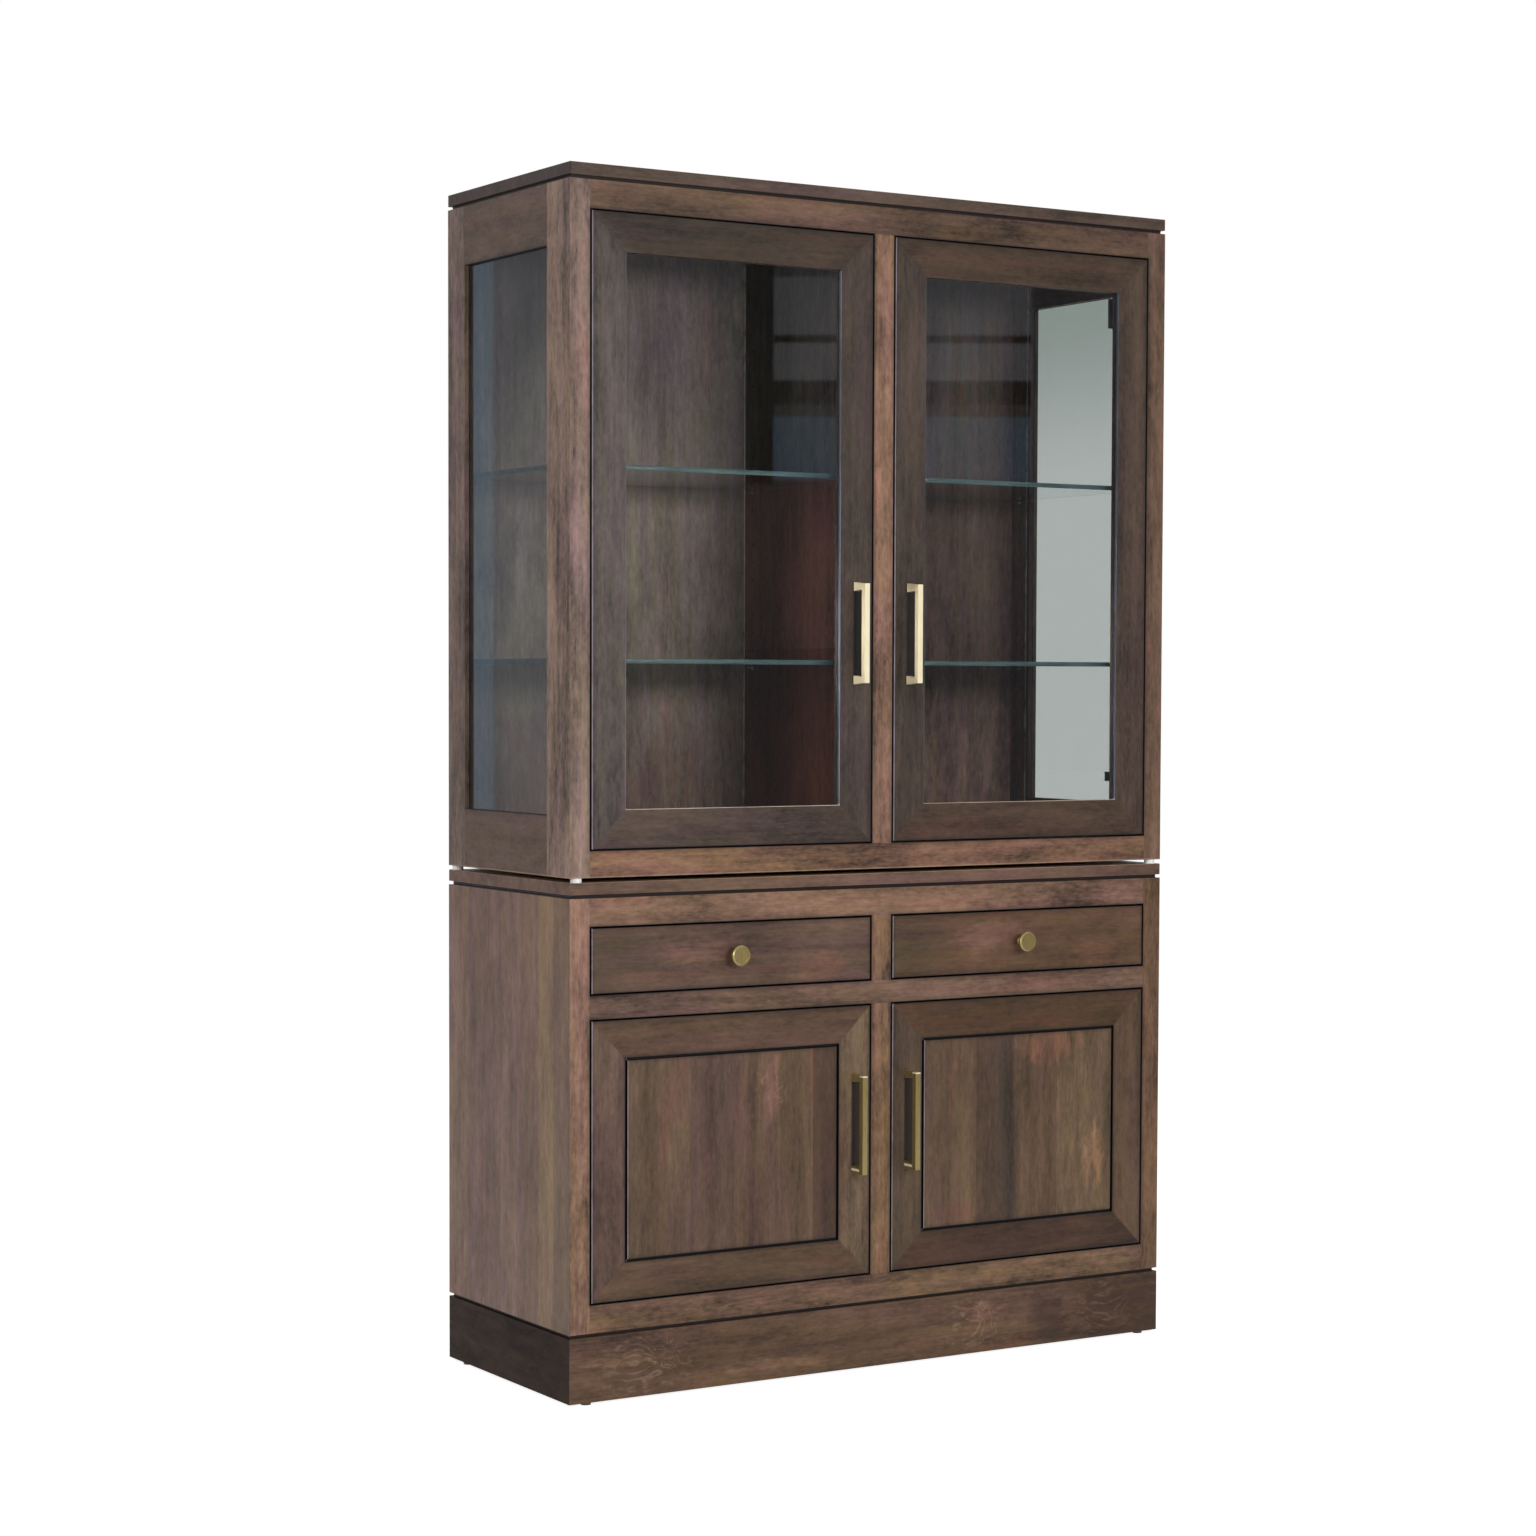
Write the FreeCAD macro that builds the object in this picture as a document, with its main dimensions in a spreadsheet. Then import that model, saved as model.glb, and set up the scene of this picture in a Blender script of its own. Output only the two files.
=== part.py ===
"""Dresser with a glazed hutch: a parametric FreeCAD document.

Frame: millimetres, +Z up, the front faces -Y, +X is the viewer's right.
The origin lies on the floor, midway between the sides and midway between
the front of the pulls and the back.
"""
import FreeCAD, Part
import os
import re
import Sketcher

Vector = FreeCAD.Vector
Rotation = FreeCAD.Rotation

# ---------------------------------------------------------------- driving dimensions
SIZES = {
    # case
    "overall_width": 1219,
    "overall_depth": 450,
    "glide_height": 4,
    "glide_diameter": 17,
    "glide_inset_x": 36,
    "glide_inset_y": 55,
    "plinth_height": 108.5,
    "plinth_thickness": 20,
    "reveal_height": 6,
    "reveal_depth": 6,
    "base_height": 718.5,
    "board_thickness": 20,
    "pad_height": 7.5,
    "pad_diameter": 19,
    "pad_inset": 17,
    "hutch_height": 1135.5,
    "side_thickness": 20,
    "floor_thickness": 20,
    "partition_thickness": 24,
    "back_thickness": 6,
    "back_rabbet": 10,
    "stretcher_depth": 80,
    # face frames
    "frame_thickness": 20,
    "stile_width": 38,
    "mullion_width": 41,
    "base_bottom_rail": 47,
    "base_middle_rail": 40,
    "base_top_rail": 47,
    "drawer_opening": 113,
    "hutch_bottom_rail": 44.5,
    "hutch_top_rail": 47,
    # framed glass sides of the hutch
    "side_front_stile": 80,
    "side_rear_stile": 64,
    "side_rail": 101,
    "side_lip": 8,
    # doors
    "door_gap": 2.5,
    "door_thickness": 20,
    "door_member": 63.5,
    "rabbet_width": 8,
    "glass_lip": 6.5,
    "glass_thickness": 4,
    "glass_clearance": 1,
    "panel_reveal": 4,
    "panel_field_depth": 6,
    "panel_tongue": 7,
    "panel_tongue_thickness": 6,
    # shelves
    "shelf_glass_thickness": 8,
    "shelf_setback": 42,
    "shelf_clearance": 1.5,
    "hole_pitch": 32,
    "hole_diameter": 5,
    "hole_depth": 10,
    "first_hole": 187,
    "hole_front_inset": 50,
    "hole_rear_inset": 34,
    "pin_collar": 9,
    "pin_collar_length": 2,
    "pin_reach": 8,
    "base_shelf_thickness": 18,
    "base_shelf_height": 215,
    "base_shelf_setback": 40,
    # concealed hinges
    "hinge_inset": 105,
    "hinge_axis_inset": 26,
    "hinge_axis_depth": 10.8,
    "cup_diameter": 40,
    "cup_depth": 14,
    "cup_wall": 1,
    "cup_clearance": 0.2,
    "cup_rim": 1,
    "flange_height": 62,
    "flange_width": 17,
    "hinge_pin_diameter": 4,
    "hinge_pin_clearance": 0.15,
    "eye_wall": 1.1,
    "arm_height": 17,
    "arm_thickness": 2,
    "arm_offset": 14.4,
    "arm_reach": 30,
    "arm_tail": 50,
    "plate_length": 38,
    "plate_height": 48,
    "plate_thickness": 2,
    "hinge_block_length": 30,
    "damper_width": 20,
    "damper_thickness": 6,
    "damper_height": 60,
    "damper_drop": 19,
    # pulls and knobs
    "pull_projection": 35,
    "pull_bar": 10,
    "pull_foot": 15,
    "pull_centres": 160,
    "upper_pull_height": 358.5,
    "lower_pull_height": 263,
    "screw_diameter": 4,
    "screw_clearance": 0.5,
    "screw_grip": 8,
    "screw_head": 8,
    "screw_head_height": 2.5,
    "knob_diameter": 35,
    "knob_projection": 26,
    "knob_edge": 9,
    "knob_stem": 12,
    "knob_foot": 14,
    "knob_foot_height": 3,
    "knob_ring": 4.5,
    "knob_dish": 0.8,
    # drawers
    "drawer_side_thickness": 12,
    "drawer_box_height": 84,
    "drawer_box_length": 400,
    "drawer_box_lift": 10,
    "drawer_bottom_thickness": 6,
    "drawer_bottom_groove": 6,
    "drawer_bottom_lift": 8,
    "slide_thickness": 12.7,
    "slide_height": 36,
    "slide_length": 400,
    "slide_metal": 1.5,
    "slide_play": 0.3,
    "slide_lip": 9.5,
    "slide_block_height": 46,
}

HOLE_COUNT = 24
LOWER_SHELF_HOLE = 5
UPPER_SHELF_HOLE = 15

# ---------------------------------------------------------------- places worked out from them
PLACES = {
    "left": "(-overall_width / 2)",
    "right": "(overall_width / 2)",
    "front": "((pull_projection - overall_depth) / 2)",
    "rear": "(front + overall_depth)",
    # levels, from the floor up
    "plinth_low": "glide_height",
    "plinth_high": "(plinth_low + plinth_height)",
    "base_low": "(plinth_high + reveal_height)",
    "base_high": "(base_low + base_height)",
    "base_top_low": "(base_high + reveal_height)",
    "base_top_high": "(base_top_low + board_thickness)",
    "hutch_low": "(base_top_high + pad_height)",
    "hutch_high": "(hutch_low + hutch_height)",
    "hutch_top_low": "(hutch_high + reveal_height)",
    # openings of the face frames
    "lower_open_low": "(base_low + base_bottom_rail)",
    "drawer_open_high": "(base_high - base_top_rail)",
    "drawer_open_low": "(drawer_open_high - drawer_opening)",
    "lower_open_high": "(drawer_open_low - base_middle_rail)",
    "upper_open_low": "(hutch_low + hutch_bottom_rail)",
    "upper_open_high": "(hutch_high - hutch_top_rail)",
    "open_left": "(left + stile_width)",
    "bay_width": "(overall_width / 2 - stile_width - mullion_width / 2)",
    "bay_right_start": "(mullion_width / 2)",
    # inside faces
    "inner_left": "(left + side_thickness)",
    "inner_width": "(overall_width - 2 * side_thickness)",
    "behind_frame": "(front + frame_thickness)",
    "back_front": "(rear - back_thickness)",
    "back_left": "(inner_left - back_rabbet)",
    "back_width": "(inner_width + 2 * back_rabbet)",
    "inner_depth": "(back_front - behind_frame)",
    "wall_reach": "(overall_width / 2 - side_thickness - partition_thickness / 2)",
    # doors
    "door_width": "(bay_width - 2 * door_gap)",
    "upper_door_low": "(upper_open_low + door_gap)",
    "upper_door_height": "(upper_open_high - upper_open_low - 2 * door_gap)",
    "lower_door_low": "(lower_open_low + door_gap)",
    "lower_door_height": "(lower_open_high - lower_open_low - 2 * door_gap)",
    "drawer_front_low": "(drawer_open_low + door_gap)",
    "drawer_front_height": "(drawer_opening - 2 * door_gap)",
    "glass_near": "(front + glass_lip)",
    "glass_far": "(glass_near + glass_thickness)",
    "hinge_axis_y": "(front + hinge_axis_depth)",
    "cup_floor": "(front + door_thickness - cup_depth)",
    "door_back": "(front + door_thickness)",
    # shelf pin holes
    "hole_low": "(hutch_low + first_hole)",
    "hole_front": "(front + hole_front_inset)",
    "hole_rear": "(rear - hole_rear_inset)",
    "base_pin_level": "(lower_open_low + base_shelf_height)",
    # drawer boxes
    "box_width": "(bay_width - 2 * slide_thickness)",
    "box_low": "(drawer_front_low + drawer_box_lift)",
    "slide_low": "(box_low + drawer_box_height / 2 - slide_height / 2)",
}

WORD = re.compile(r"[a-z][a-z0-9_]*")


def formula(text):
    """The text as an expression of the sheet, with every named place written out."""
    def cell(match):
        word = match.group(0)
        if word in PLACES:
            return "(" + formula(PLACES[word]) + ")"
        return "Sizes." + word
    return WORD.sub(cell, str(text))


doc = FreeCAD.newDocument("DresserWithHutch")
sheet = doc.addObject("Spreadsheet::Sheet", "Sizes")
for row, (alias, size) in enumerate(SIZES.items(), start=1):
    sheet.set(f"A{row}", alias)
    sheet.set(f"B{row}", str(size))
    sheet.setAlias(f"B{row}", alias)
doc.recompute()


def value(text):
    """What a named place or size measures now."""
    return float(sheet.evalExpression(formula(text)))


# ---------------------------------------------------------------- ways of making a piece
def bind(thing, **texts):
    for name, text in texts.items():
        thing.setExpression(name, formula(text))
    return thing


def put(thing, x, y, z):
    """Places a thing at x, y, z, each bound to the sheet."""
    for axis, text in zip("xyz", (x, y, z)):
        thing.setExpression(f"Placement.Base.{axis}", formula(text))
    return thing


def box(corner, size, name="Board"):
    """A board from its lowest corner."""
    made = doc.addObject("Part::Box", name)
    bind(made, Length=size[0], Width=size[1], Height=size[2])
    return put(made, *corner)


AXES = {"x": Rotation(Vector(0, 1, 0), 90), "y": Rotation(Vector(1, 0, 0), -90), "z": Rotation()}


def cylinder(start, axis, diameter, length, name="Round"):
    """A round bar from the centre of its low end along +x, +y or +z."""
    made = doc.addObject("Part::Cylinder", name)
    made.Placement.Rotation = AXES[axis]
    bind(made, Radius=f"({diameter}) / 2", Height=length)
    return put(made, *start)


def cut(base, *tools):
    """The base less each tool in turn."""
    for tool in tools:
        made = doc.addObject("Part::Cut", "Cut")
        made.Base = base
        made.Tool = tool
        base = made
    return base


def fuse(*shapes):
    made = doc.addObject("Part::MultiFuse", "Fused")
    made.Shapes = list(shapes)
    return made


def together(*pieces):
    """Several separate solids as one group."""
    made = doc.addObject("Part::Compound", "Group")
    made.Links = list(pieces)
    return made


NODES = []


def node(name, thing):
    """Names a finished piece, or group of pieces: its label is its file's name."""
    thing.Label = name
    NODES.append(thing)
    return thing


MEMBER_TURNS = {"top": 0, "left": -90, "bottom": 180, "right": 90}


def mitred_member(edge, corner, length, width, depth):
    """One member of a mitred frame that stands in the XZ plane.

    Its long outer edge starts at the corner, where the member to its left, as seen
    from the frame's middle, meets it, and its short inner edge is `width` inwards.
    """
    made = doc.addObject("Part::Wedge", "Member")
    made.Placement.Rotation = Rotation(Vector(0, 1, 0), MEMBER_TURNS[edge]) * Rotation(Vector(1, 0, 0), -90)
    bind(made, Xmin=0, Xmax=length, Ymin=0, Ymax=width, Zmin=0, Zmax=depth)
    bind(made, X2min=width, X2max=f"({length}) - ({width})", Z2min=0, Z2max=depth)
    return put(made, *corner)


def mitred_frame(x, y, z, width, height, member, depth):
    """Stiles, then rails, of a mitred frame from its lowest front corner."""
    high = f"({z}) + ({height})"
    far = f"({x}) + ({width})"
    stiles = [
        mitred_member("left", (x, y, z), height, member, depth),
        mitred_member("right", (far, y, high), height, member, depth),
    ]
    rails = [
        mitred_member("top", (x, y, high), width, member, depth),
        mitred_member("bottom", (far, y, z), width, member, depth),
    ]
    return stiles, rails


def outline(body, plane, points):
    """A closed sketch through the points, each held by its distances from the origin."""
    sketch = body.newObject("Sketcher::SketchObject", "Outline")
    origin_plane = [one for one in body.Origin.OriginFeatures if one.Role == plane][0]
    sketch.AttachmentSupport = [(origin_plane, "")]
    sketch.MapMode = "FlatFace"
    spots = [Vector(value(a), value(b), 0) for a, b in points]
    count = len(spots)
    for i in range(count):
        sketch.addGeometry(Part.LineSegment(spots[i], spots[(i + 1) % count]), False)
    for i in range(count):
        sketch.addConstraint(Sketcher.Constraint("Coincident", i, 2, (i + 1) % count, 1))
    for i, texts in enumerate(points):
        for kind, axis, text in zip(("DistanceX", "DistanceY"), (-2, -1), texts):
            if text == "0":
                sketch.addConstraint(Sketcher.Constraint("PointOnObject", i, 1, axis))
                continue
            index = sketch.addConstraint(Sketcher.Constraint(kind, -1, 1, i, 1, value(text)))
            sketch.setExpression(f"Constraints[{index}]", formula(text))
    return sketch


def padded(plane, points, length, name):
    """An outline given a thickness, as a body."""
    body = doc.addObject("PartDesign::Body", name)
    pad = body.newObject("PartDesign::Pad", "Pad")
    pad.Profile = outline(body, plane, points)
    bind(pad, Length=length)
    return body


def turned(points, name):
    """An outline in the XY plane, turned about its Y axis, as a body."""
    body = doc.addObject("PartDesign::Body", name)
    sketch = outline(body, "XY_Plane", points)
    turn = body.newObject("PartDesign::Revolution", "Turned")
    turn.Profile = sketch
    turn.ReferenceAxis = (sketch, ["V_Axis"])
    turn.Angle = 360
    return body


# ---------------------------------------------------------------- plinth, glides and top boards
def plinth():
    """A box of four boards, mitred at the front corners, on round glides."""
    depth = "overall_depth - plinth_thickness"
    front_board = doc.addObject("Part::Wedge", "PlinthFront")
    bind(front_board, Xmin=0, Xmax="overall_width", Ymin=0, Ymax="plinth_thickness", Zmin=0)
    bind(front_board, X2min="plinth_thickness", X2max="overall_width - plinth_thickness", Z2min=0)
    bind(front_board, Zmax="plinth_height", Z2max="plinth_height")
    put(front_board, "left", "front", "plinth_low")
    node("plinth_front", front_board)
    sides = []
    for x in ("left", "right - plinth_thickness"):
        board = box((x, "front", "plinth_low"), ("plinth_thickness", "overall_depth", "plinth_height"))
        sides.append(cut(board, front_board))
    node("plinth_sides", together(*sides))
    span = "overall_width - 2 * plinth_thickness"
    node("plinth_back", box(("left + plinth_thickness", "front + " + depth, "plinth_low"),
                            (span, "plinth_thickness", "plinth_height")))
    glides = []
    for side in ("left", "right"):
        inward = "+" if side == "left" else "-"
        spots = (
            (f"{side} {inward} glide_inset_x", "front + plinth_thickness / 2"),
            (f"{side} {inward} plinth_thickness / 2", "rear - glide_inset_y"),
        )
        for x, y in spots:
            glides.append(cylinder((x, y, "0"), "z", "glide_diameter", "glide_height"))
    node("glides", together(*glides))


def top_boards():
    """The two top boards, and the set-back boards that make the shadow lines."""
    flat = ("overall_width", "overall_depth", "board_thickness")
    node("base_top", box(("left", "front", "base_top_low"), flat))
    node("hutch_top", box(("left", "front", "hutch_top_low"), flat))
    reveals = []
    for level in ("plinth_high", "base_high", "hutch_high"):
        corner = ("left + reveal_depth", "front + reveal_depth", level)
        size = ("overall_width - 2 * reveal_depth", "overall_depth - 2 * reveal_depth", "reveal_height")
        reveals.append(box(corner, size))
    node("reveal_boards", together(*reveals))


# ---------------------------------------------------------------- base cabinet
def corner_stile(side, low, height):
    """A face-frame stile whose outer edge is mitred to the side behind it."""
    made = doc.addObject("Part::Wedge", "CornerStile")
    bind(made, Xmin=0, Xmax="stile_width", Ymin=0, Ymax="frame_thickness")
    bind(made, Zmin=0, Zmax=height, Z2min=0, Z2max=height)
    if side == "left":
        bind(made, X2min="frame_thickness", X2max="stile_width")
        return put(made, "left", "front", low)
    bind(made, X2min=0, X2max="stile_width - frame_thickness")
    return put(made, "right - stile_width", "front", low)


def back_panel(low, height):
    return box(("back_left", "back_front", low), ("back_width", "back_thickness", height), "Back")


def wall_holes(x, level):
    """A front and a rear hole for shelf pins, from x along +X."""
    return [cylinder((x, y, level), "x", "hole_diameter", "hole_depth", "Hole")
            for y in ("hole_front", "hole_rear")]


def base_case():
    stiles = [corner_stile(side, "base_low", "base_height") for side in ("left", "right")]
    back = back_panel("base_low", "base_height")
    for side, stile in zip(("left", "right"), stiles):
        x = "left" if side == "left" else "right - side_thickness"
        hole_x = "inner_left - hole_depth" if side == "left" else x
        board = box((x, "front", "base_low"), ("side_thickness", "overall_depth", "base_height"))
        node(f"base_side_{side}", cut(board, stile, back, *wall_holes(hole_x, "base_pin_level")))
    node("base_back", back)
    middle = "-mullion_width / 2"
    mullions = [
        box((middle, "front", "lower_open_low"),
            ("mullion_width", "frame_thickness", "lower_open_high - lower_open_low")),
        box((middle, "front", "drawer_open_low"), ("mullion_width", "frame_thickness", "drawer_opening")),
    ]
    node("base_frame_uprights", together(*stiles, *mullions))
    rails = []
    for low, height in (("base_low", "base_bottom_rail"), ("lower_open_high", "base_middle_rail"),
                        ("drawer_open_high", "base_top_rail")):
        rails.append(box(("open_left", "front", low),
                         ("overall_width - 2 * stile_width", "frame_thickness", height)))
    node("base_frame_rails", together(*rails))
    floor_low = "lower_open_low - floor_thickness"
    node("base_floor", box(("inner_left", "behind_frame", floor_low),
                           ("inner_width", "inner_depth", "floor_thickness")))
    stretchers = []
    for y in ("behind_frame", "back_front - stretcher_depth"):
        stretchers.append(box(("inner_left", y, "base_high - floor_thickness"),
                              ("inner_width", "stretcher_depth", "floor_thickness")))
    node("base_stretchers", together(*stretchers))
    wall = box(("-partition_thickness / 2", "behind_frame", "lower_open_low"),
               ("partition_thickness", "inner_depth", "base_high - floor_thickness - lower_open_low"))
    holes = []
    for x in ("-partition_thickness / 2", "partition_thickness / 2 - hole_depth"):
        holes += wall_holes(x, "base_pin_level")
    node("base_partition", cut(wall, *holes))


def bays():
    """The low x of the space between a side and the partition, in each bay."""
    return "inner_left", "partition_thickness / 2"


def base_shelves():
    """One wooden shelf in each bay; returns the pins that carry them."""
    shelves, pins = [], []
    for x in bays():
        shelves.append(box((f"{x} + shelf_clearance", "front + base_shelf_setback",
                            "base_pin_level + pin_collar / 2"),
                           ("wall_reach - 2 * shelf_clearance",
                            "back_front - front - base_shelf_setback - shelf_clearance",
                            "base_shelf_thickness")))
        pins += pins_round(x, "base_pin_level")
    node("base_shelves", together(*shelves))
    return pins


# ---------------------------------------------------------------- hutch
def side_glazing(side):
    """Low x of the pane, and of the beads, of one side: the lip is outside."""
    if side == "left":
        return "left + side_lip", "left + side_lip + glass_thickness"
    return "right - side_lip - glass_thickness", "right - side_thickness"


def strips(corner, size, across, width):
    """Four straight beads round a flat opening, flush with its outer edges.

    `across` is the axis through the opening, x or y, and `width` the beads' face width.
    """
    x, y, z = corner
    length, thickness, height = size
    if across == "x":
        ends = [(y, thickness), (f"({y}) + ({thickness}) - ({width})", thickness)]
        uprights = [box((x, start, z), (length, width, height)) for start, _ in ends]
        inner = (x, f"({y}) + ({width})")
        span = (length, f"({thickness}) - 2 * ({width})")
    else:
        starts = [x, f"({x}) + ({length}) - ({width})"]
        uprights = [box((start, y, z), (width, thickness, height)) for start in starts]
        inner = (f"({x}) + ({width})", y)
        span = (f"({length}) - 2 * ({width})", thickness)
    levels = [z, f"({z}) + ({height}) - ({width})"]
    crosses = [box((*inner, level), (*span, width)) for level in levels]
    return uprights + crosses


def pin_holes(x, y):
    """A row of shelf-pin holes from x along +X, up the wall at y."""
    row = []
    for step in range(HOLE_COUNT):
        level = f"hole_low + {step} * hole_pitch"
        row.append(cylinder((x, y, level), "x", "hole_diameter", "hole_depth", "Hole"))
    return together(*row)


def hutch_sides(frame_stiles, back):
    """Framed sides: stiles and rails round a pane held by beads on the inside."""
    stiles, rails, panes, beads = [], [], [], []
    open_low = "hutch_low + side_rail"
    open_height = "hutch_height - 2 * side_rail"
    open_near = "front + side_front_stile"
    open_depth = "overall_depth - side_front_stile - side_rear_stile"
    for side, frame_stile in zip(("left", "right"), frame_stiles):
        x = "left" if side == "left" else "right - side_thickness"
        pane_x, bead_x = side_glazing(side)
        rabbet_x = "left + side_lip" if side == "left" else "right - side_thickness"
        rabbet = box((rabbet_x, f"{open_near} - rabbet_width", f"{open_low} - rabbet_width"),
                     ("side_thickness - side_lip", f"{open_depth} + 2 * rabbet_width",
                      f"{open_height} + 2 * rabbet_width"), "Rabbet")
        hole_x = "inner_left - hole_depth" if side == "left" else "right - side_thickness"
        front_stile = box((x, "front", "hutch_low"), ("side_thickness", "side_front_stile", "hutch_height"))
        stiles.append(cut(front_stile, frame_stile, rabbet, pin_holes(hole_x, "hole_front")))
        rear_stile = box((x, "rear - side_rear_stile", "hutch_low"),
                         ("side_thickness", "side_rear_stile", "hutch_height"))
        stiles.append(cut(rear_stile, back, rabbet, pin_holes(hole_x, "hole_rear")))
        for low in ("hutch_low", "hutch_high - side_rail"):
            rail = box((x, open_near, low), ("side_thickness", open_depth, "side_rail"))
            rails.append(cut(rail, rabbet))
        margin = "(rabbet_width - glass_clearance)"
        panes.append(box((pane_x, f"{open_near} - {margin}", f"{open_low} - {margin}"),
                         ("glass_thickness", f"{open_depth} + 2 * {margin}",
                          f"{open_height} + 2 * {margin}"), "Pane"))
        bead_corner = (bead_x, f"{open_near} - rabbet_width", f"{open_low} - rabbet_width")
        bead_size = ("side_thickness - side_lip - glass_thickness",
                     f"{open_depth} + 2 * rabbet_width", f"{open_height} + 2 * rabbet_width")
        beads += strips(bead_corner, bead_size, "x", "rabbet_width")
    node("hutch_side_stiles", together(*stiles))
    node("hutch_side_rails", together(*rails))
    node("hutch_side_glass", together(*panes))
    node("hutch_side_beads", together(*beads))


def hutch_case():
    stiles = [corner_stile(side, "hutch_low", "hutch_height") for side in ("left", "right")]
    back = back_panel("hutch_low", "hutch_height")
    hutch_sides(stiles, back)
    node("hutch_back", back)
    mullion = box(("-mullion_width / 2", "front", "upper_open_low"),
                  ("mullion_width", "frame_thickness", "upper_open_high - upper_open_low"))
    node("hutch_frame_uprights", together(*stiles, mullion))
    rails = []
    for low, height in (("hutch_low", "hutch_bottom_rail"), ("upper_open_high", "hutch_top_rail")):
        rails.append(box(("open_left", "front", low),
                         ("overall_width - 2 * stile_width", "frame_thickness", height)))
    node("hutch_frame_rails", together(*rails))
    floors = []
    for low in ("upper_open_low - floor_thickness", "hutch_high - floor_thickness"):
        floors.append(box(("inner_left", "behind_frame", low), ("inner_width", "inner_depth", "floor_thickness")))
    node("hutch_floor", floors[0])
    node("hutch_ceiling", floors[1])
    wall = box(("-partition_thickness / 2", "behind_frame", "upper_open_low"),
               ("partition_thickness", "inner_depth", "hutch_high - floor_thickness - upper_open_low"))
    rows = []
    for x in ("-partition_thickness / 2", "partition_thickness / 2 - hole_depth"):
        rows += [pin_holes(x, y) for y in ("hole_front", "hole_rear")]
    node("hutch_partition", cut(wall, *rows))
    pads = []
    for x in ("left + pad_inset", "right - pad_inset"):
        for y in ("front + frame_thickness / 2", "rear - side_thickness / 2 - back_thickness"):
            spot_x = x
            if "rear" in y:
                spot_x = x.replace("pad_inset", "side_thickness / 2")
            pads.append(cylinder((spot_x, y, "base_top_high"), "z", "pad_diameter", "pad_height"))
    node("hutch_pads", together(*pads))


def pins_round(low_x, level):
    """The four pins of one shelf, in the bay that starts at low_x."""
    pins = []
    for y in ("hole_front", "hole_rear"):
        pins.append(shelf_pin(low_x, y, level, "left"))
        pins.append(shelf_pin(f"{low_x} + wall_reach", y, level, "right"))
    return pins


def shelf_pin(x, y, z, side):
    """A peg in its hole with a collar on the wall; side is the wall's side of the bay."""
    if side == "left":
        peg = cylinder((f"({x}) - hole_depth", y, z), "x", "hole_diameter", "hole_depth + pin_reach")
        collar = cylinder((x, y, z), "x", "pin_collar", "pin_collar_length")
    else:
        peg = cylinder((f"({x}) - pin_reach", y, z), "x", "hole_diameter", "hole_depth + pin_reach")
        collar = cylinder((f"({x}) - pin_collar_length", y, z), "x", "pin_collar", "pin_collar_length")
    return fuse(peg, collar)


def glass_shelves():
    """Two glass shelves in each bay; returns the pins that carry them."""
    shelves, pins = [], []
    for low_x in bays():
        for hole in (LOWER_SHELF_HOLE, UPPER_SHELF_HOLE):
            level = f"hole_low + {hole} * hole_pitch"
            shelf_low = f"{level} + pin_collar / 2"
            shelves.append(box((f"{low_x} + shelf_clearance", "front + shelf_setback", shelf_low),
                               ("wall_reach - 2 * shelf_clearance",
                                "back_front - front - shelf_setback - shelf_clearance",
                                "shelf_glass_thickness"), "Shelf"))
            pins += pins_round(low_x, level)
    node("glass_shelves", together(*shelves))
    return pins


# ---------------------------------------------------------------- hinges
def hinge_levels(low, height):
    return f"{low} + hinge_inset", f"{low} + ({height}) - hinge_inset"


def door_edge(side):
    """The x of a door's hinged edge, and the sign that leads from it into the door."""
    if side == "left":
        return "(open_left + door_gap)", "+"
    return "(right - stile_width - door_gap)", "-"


def along_door(side, distance, width="0"):
    """Low x of something `width` wide, whose near side is `distance` from the hinged edge."""
    edge, sign = door_edge(side)
    if sign == "+":
        return f"{edge} + ({distance})"
    return f"{edge} - ({distance}) - ({width})"


def hinge_cup(side, level):
    """A cup with a rim and a screw flange, and the pin across it."""
    x = along_door(side, "hinge_axis_inset")
    outer = cylinder((x, "cup_floor", level), "y", "cup_diameter", "cup_depth")
    rim = cylinder((x, "door_back", level), "y", "cup_diameter + 2 * cup_wall", "cup_rim")
    flange = box((f"{x} - flange_width / 2", "door_back", f"{level} - flange_height / 2"),
                 ("flange_width", "cup_rim", "flange_height"))
    hollow = cylinder((x, "cup_floor + cup_wall", level), "y", "cup_diameter - 2 * cup_wall",
                      "cup_depth + cup_rim")
    pin = cylinder((x, "hinge_axis_y", f"{level} - cup_diameter / 2 + cup_wall / 2"), "z",
                   "hinge_pin_diameter", "cup_diameter - cup_wall")
    return cut(fuse(outer, rim, flange), hollow, pin), pin


def cup_bore(side, level):
    """The bore in the door's back for a cup."""
    x = along_door(side, "hinge_axis_inset")
    return cylinder((x, "cup_floor - cup_clearance", level), "y", "cup_diameter + 2 * cup_clearance",
                    "cup_depth + cup_clearance")


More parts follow.
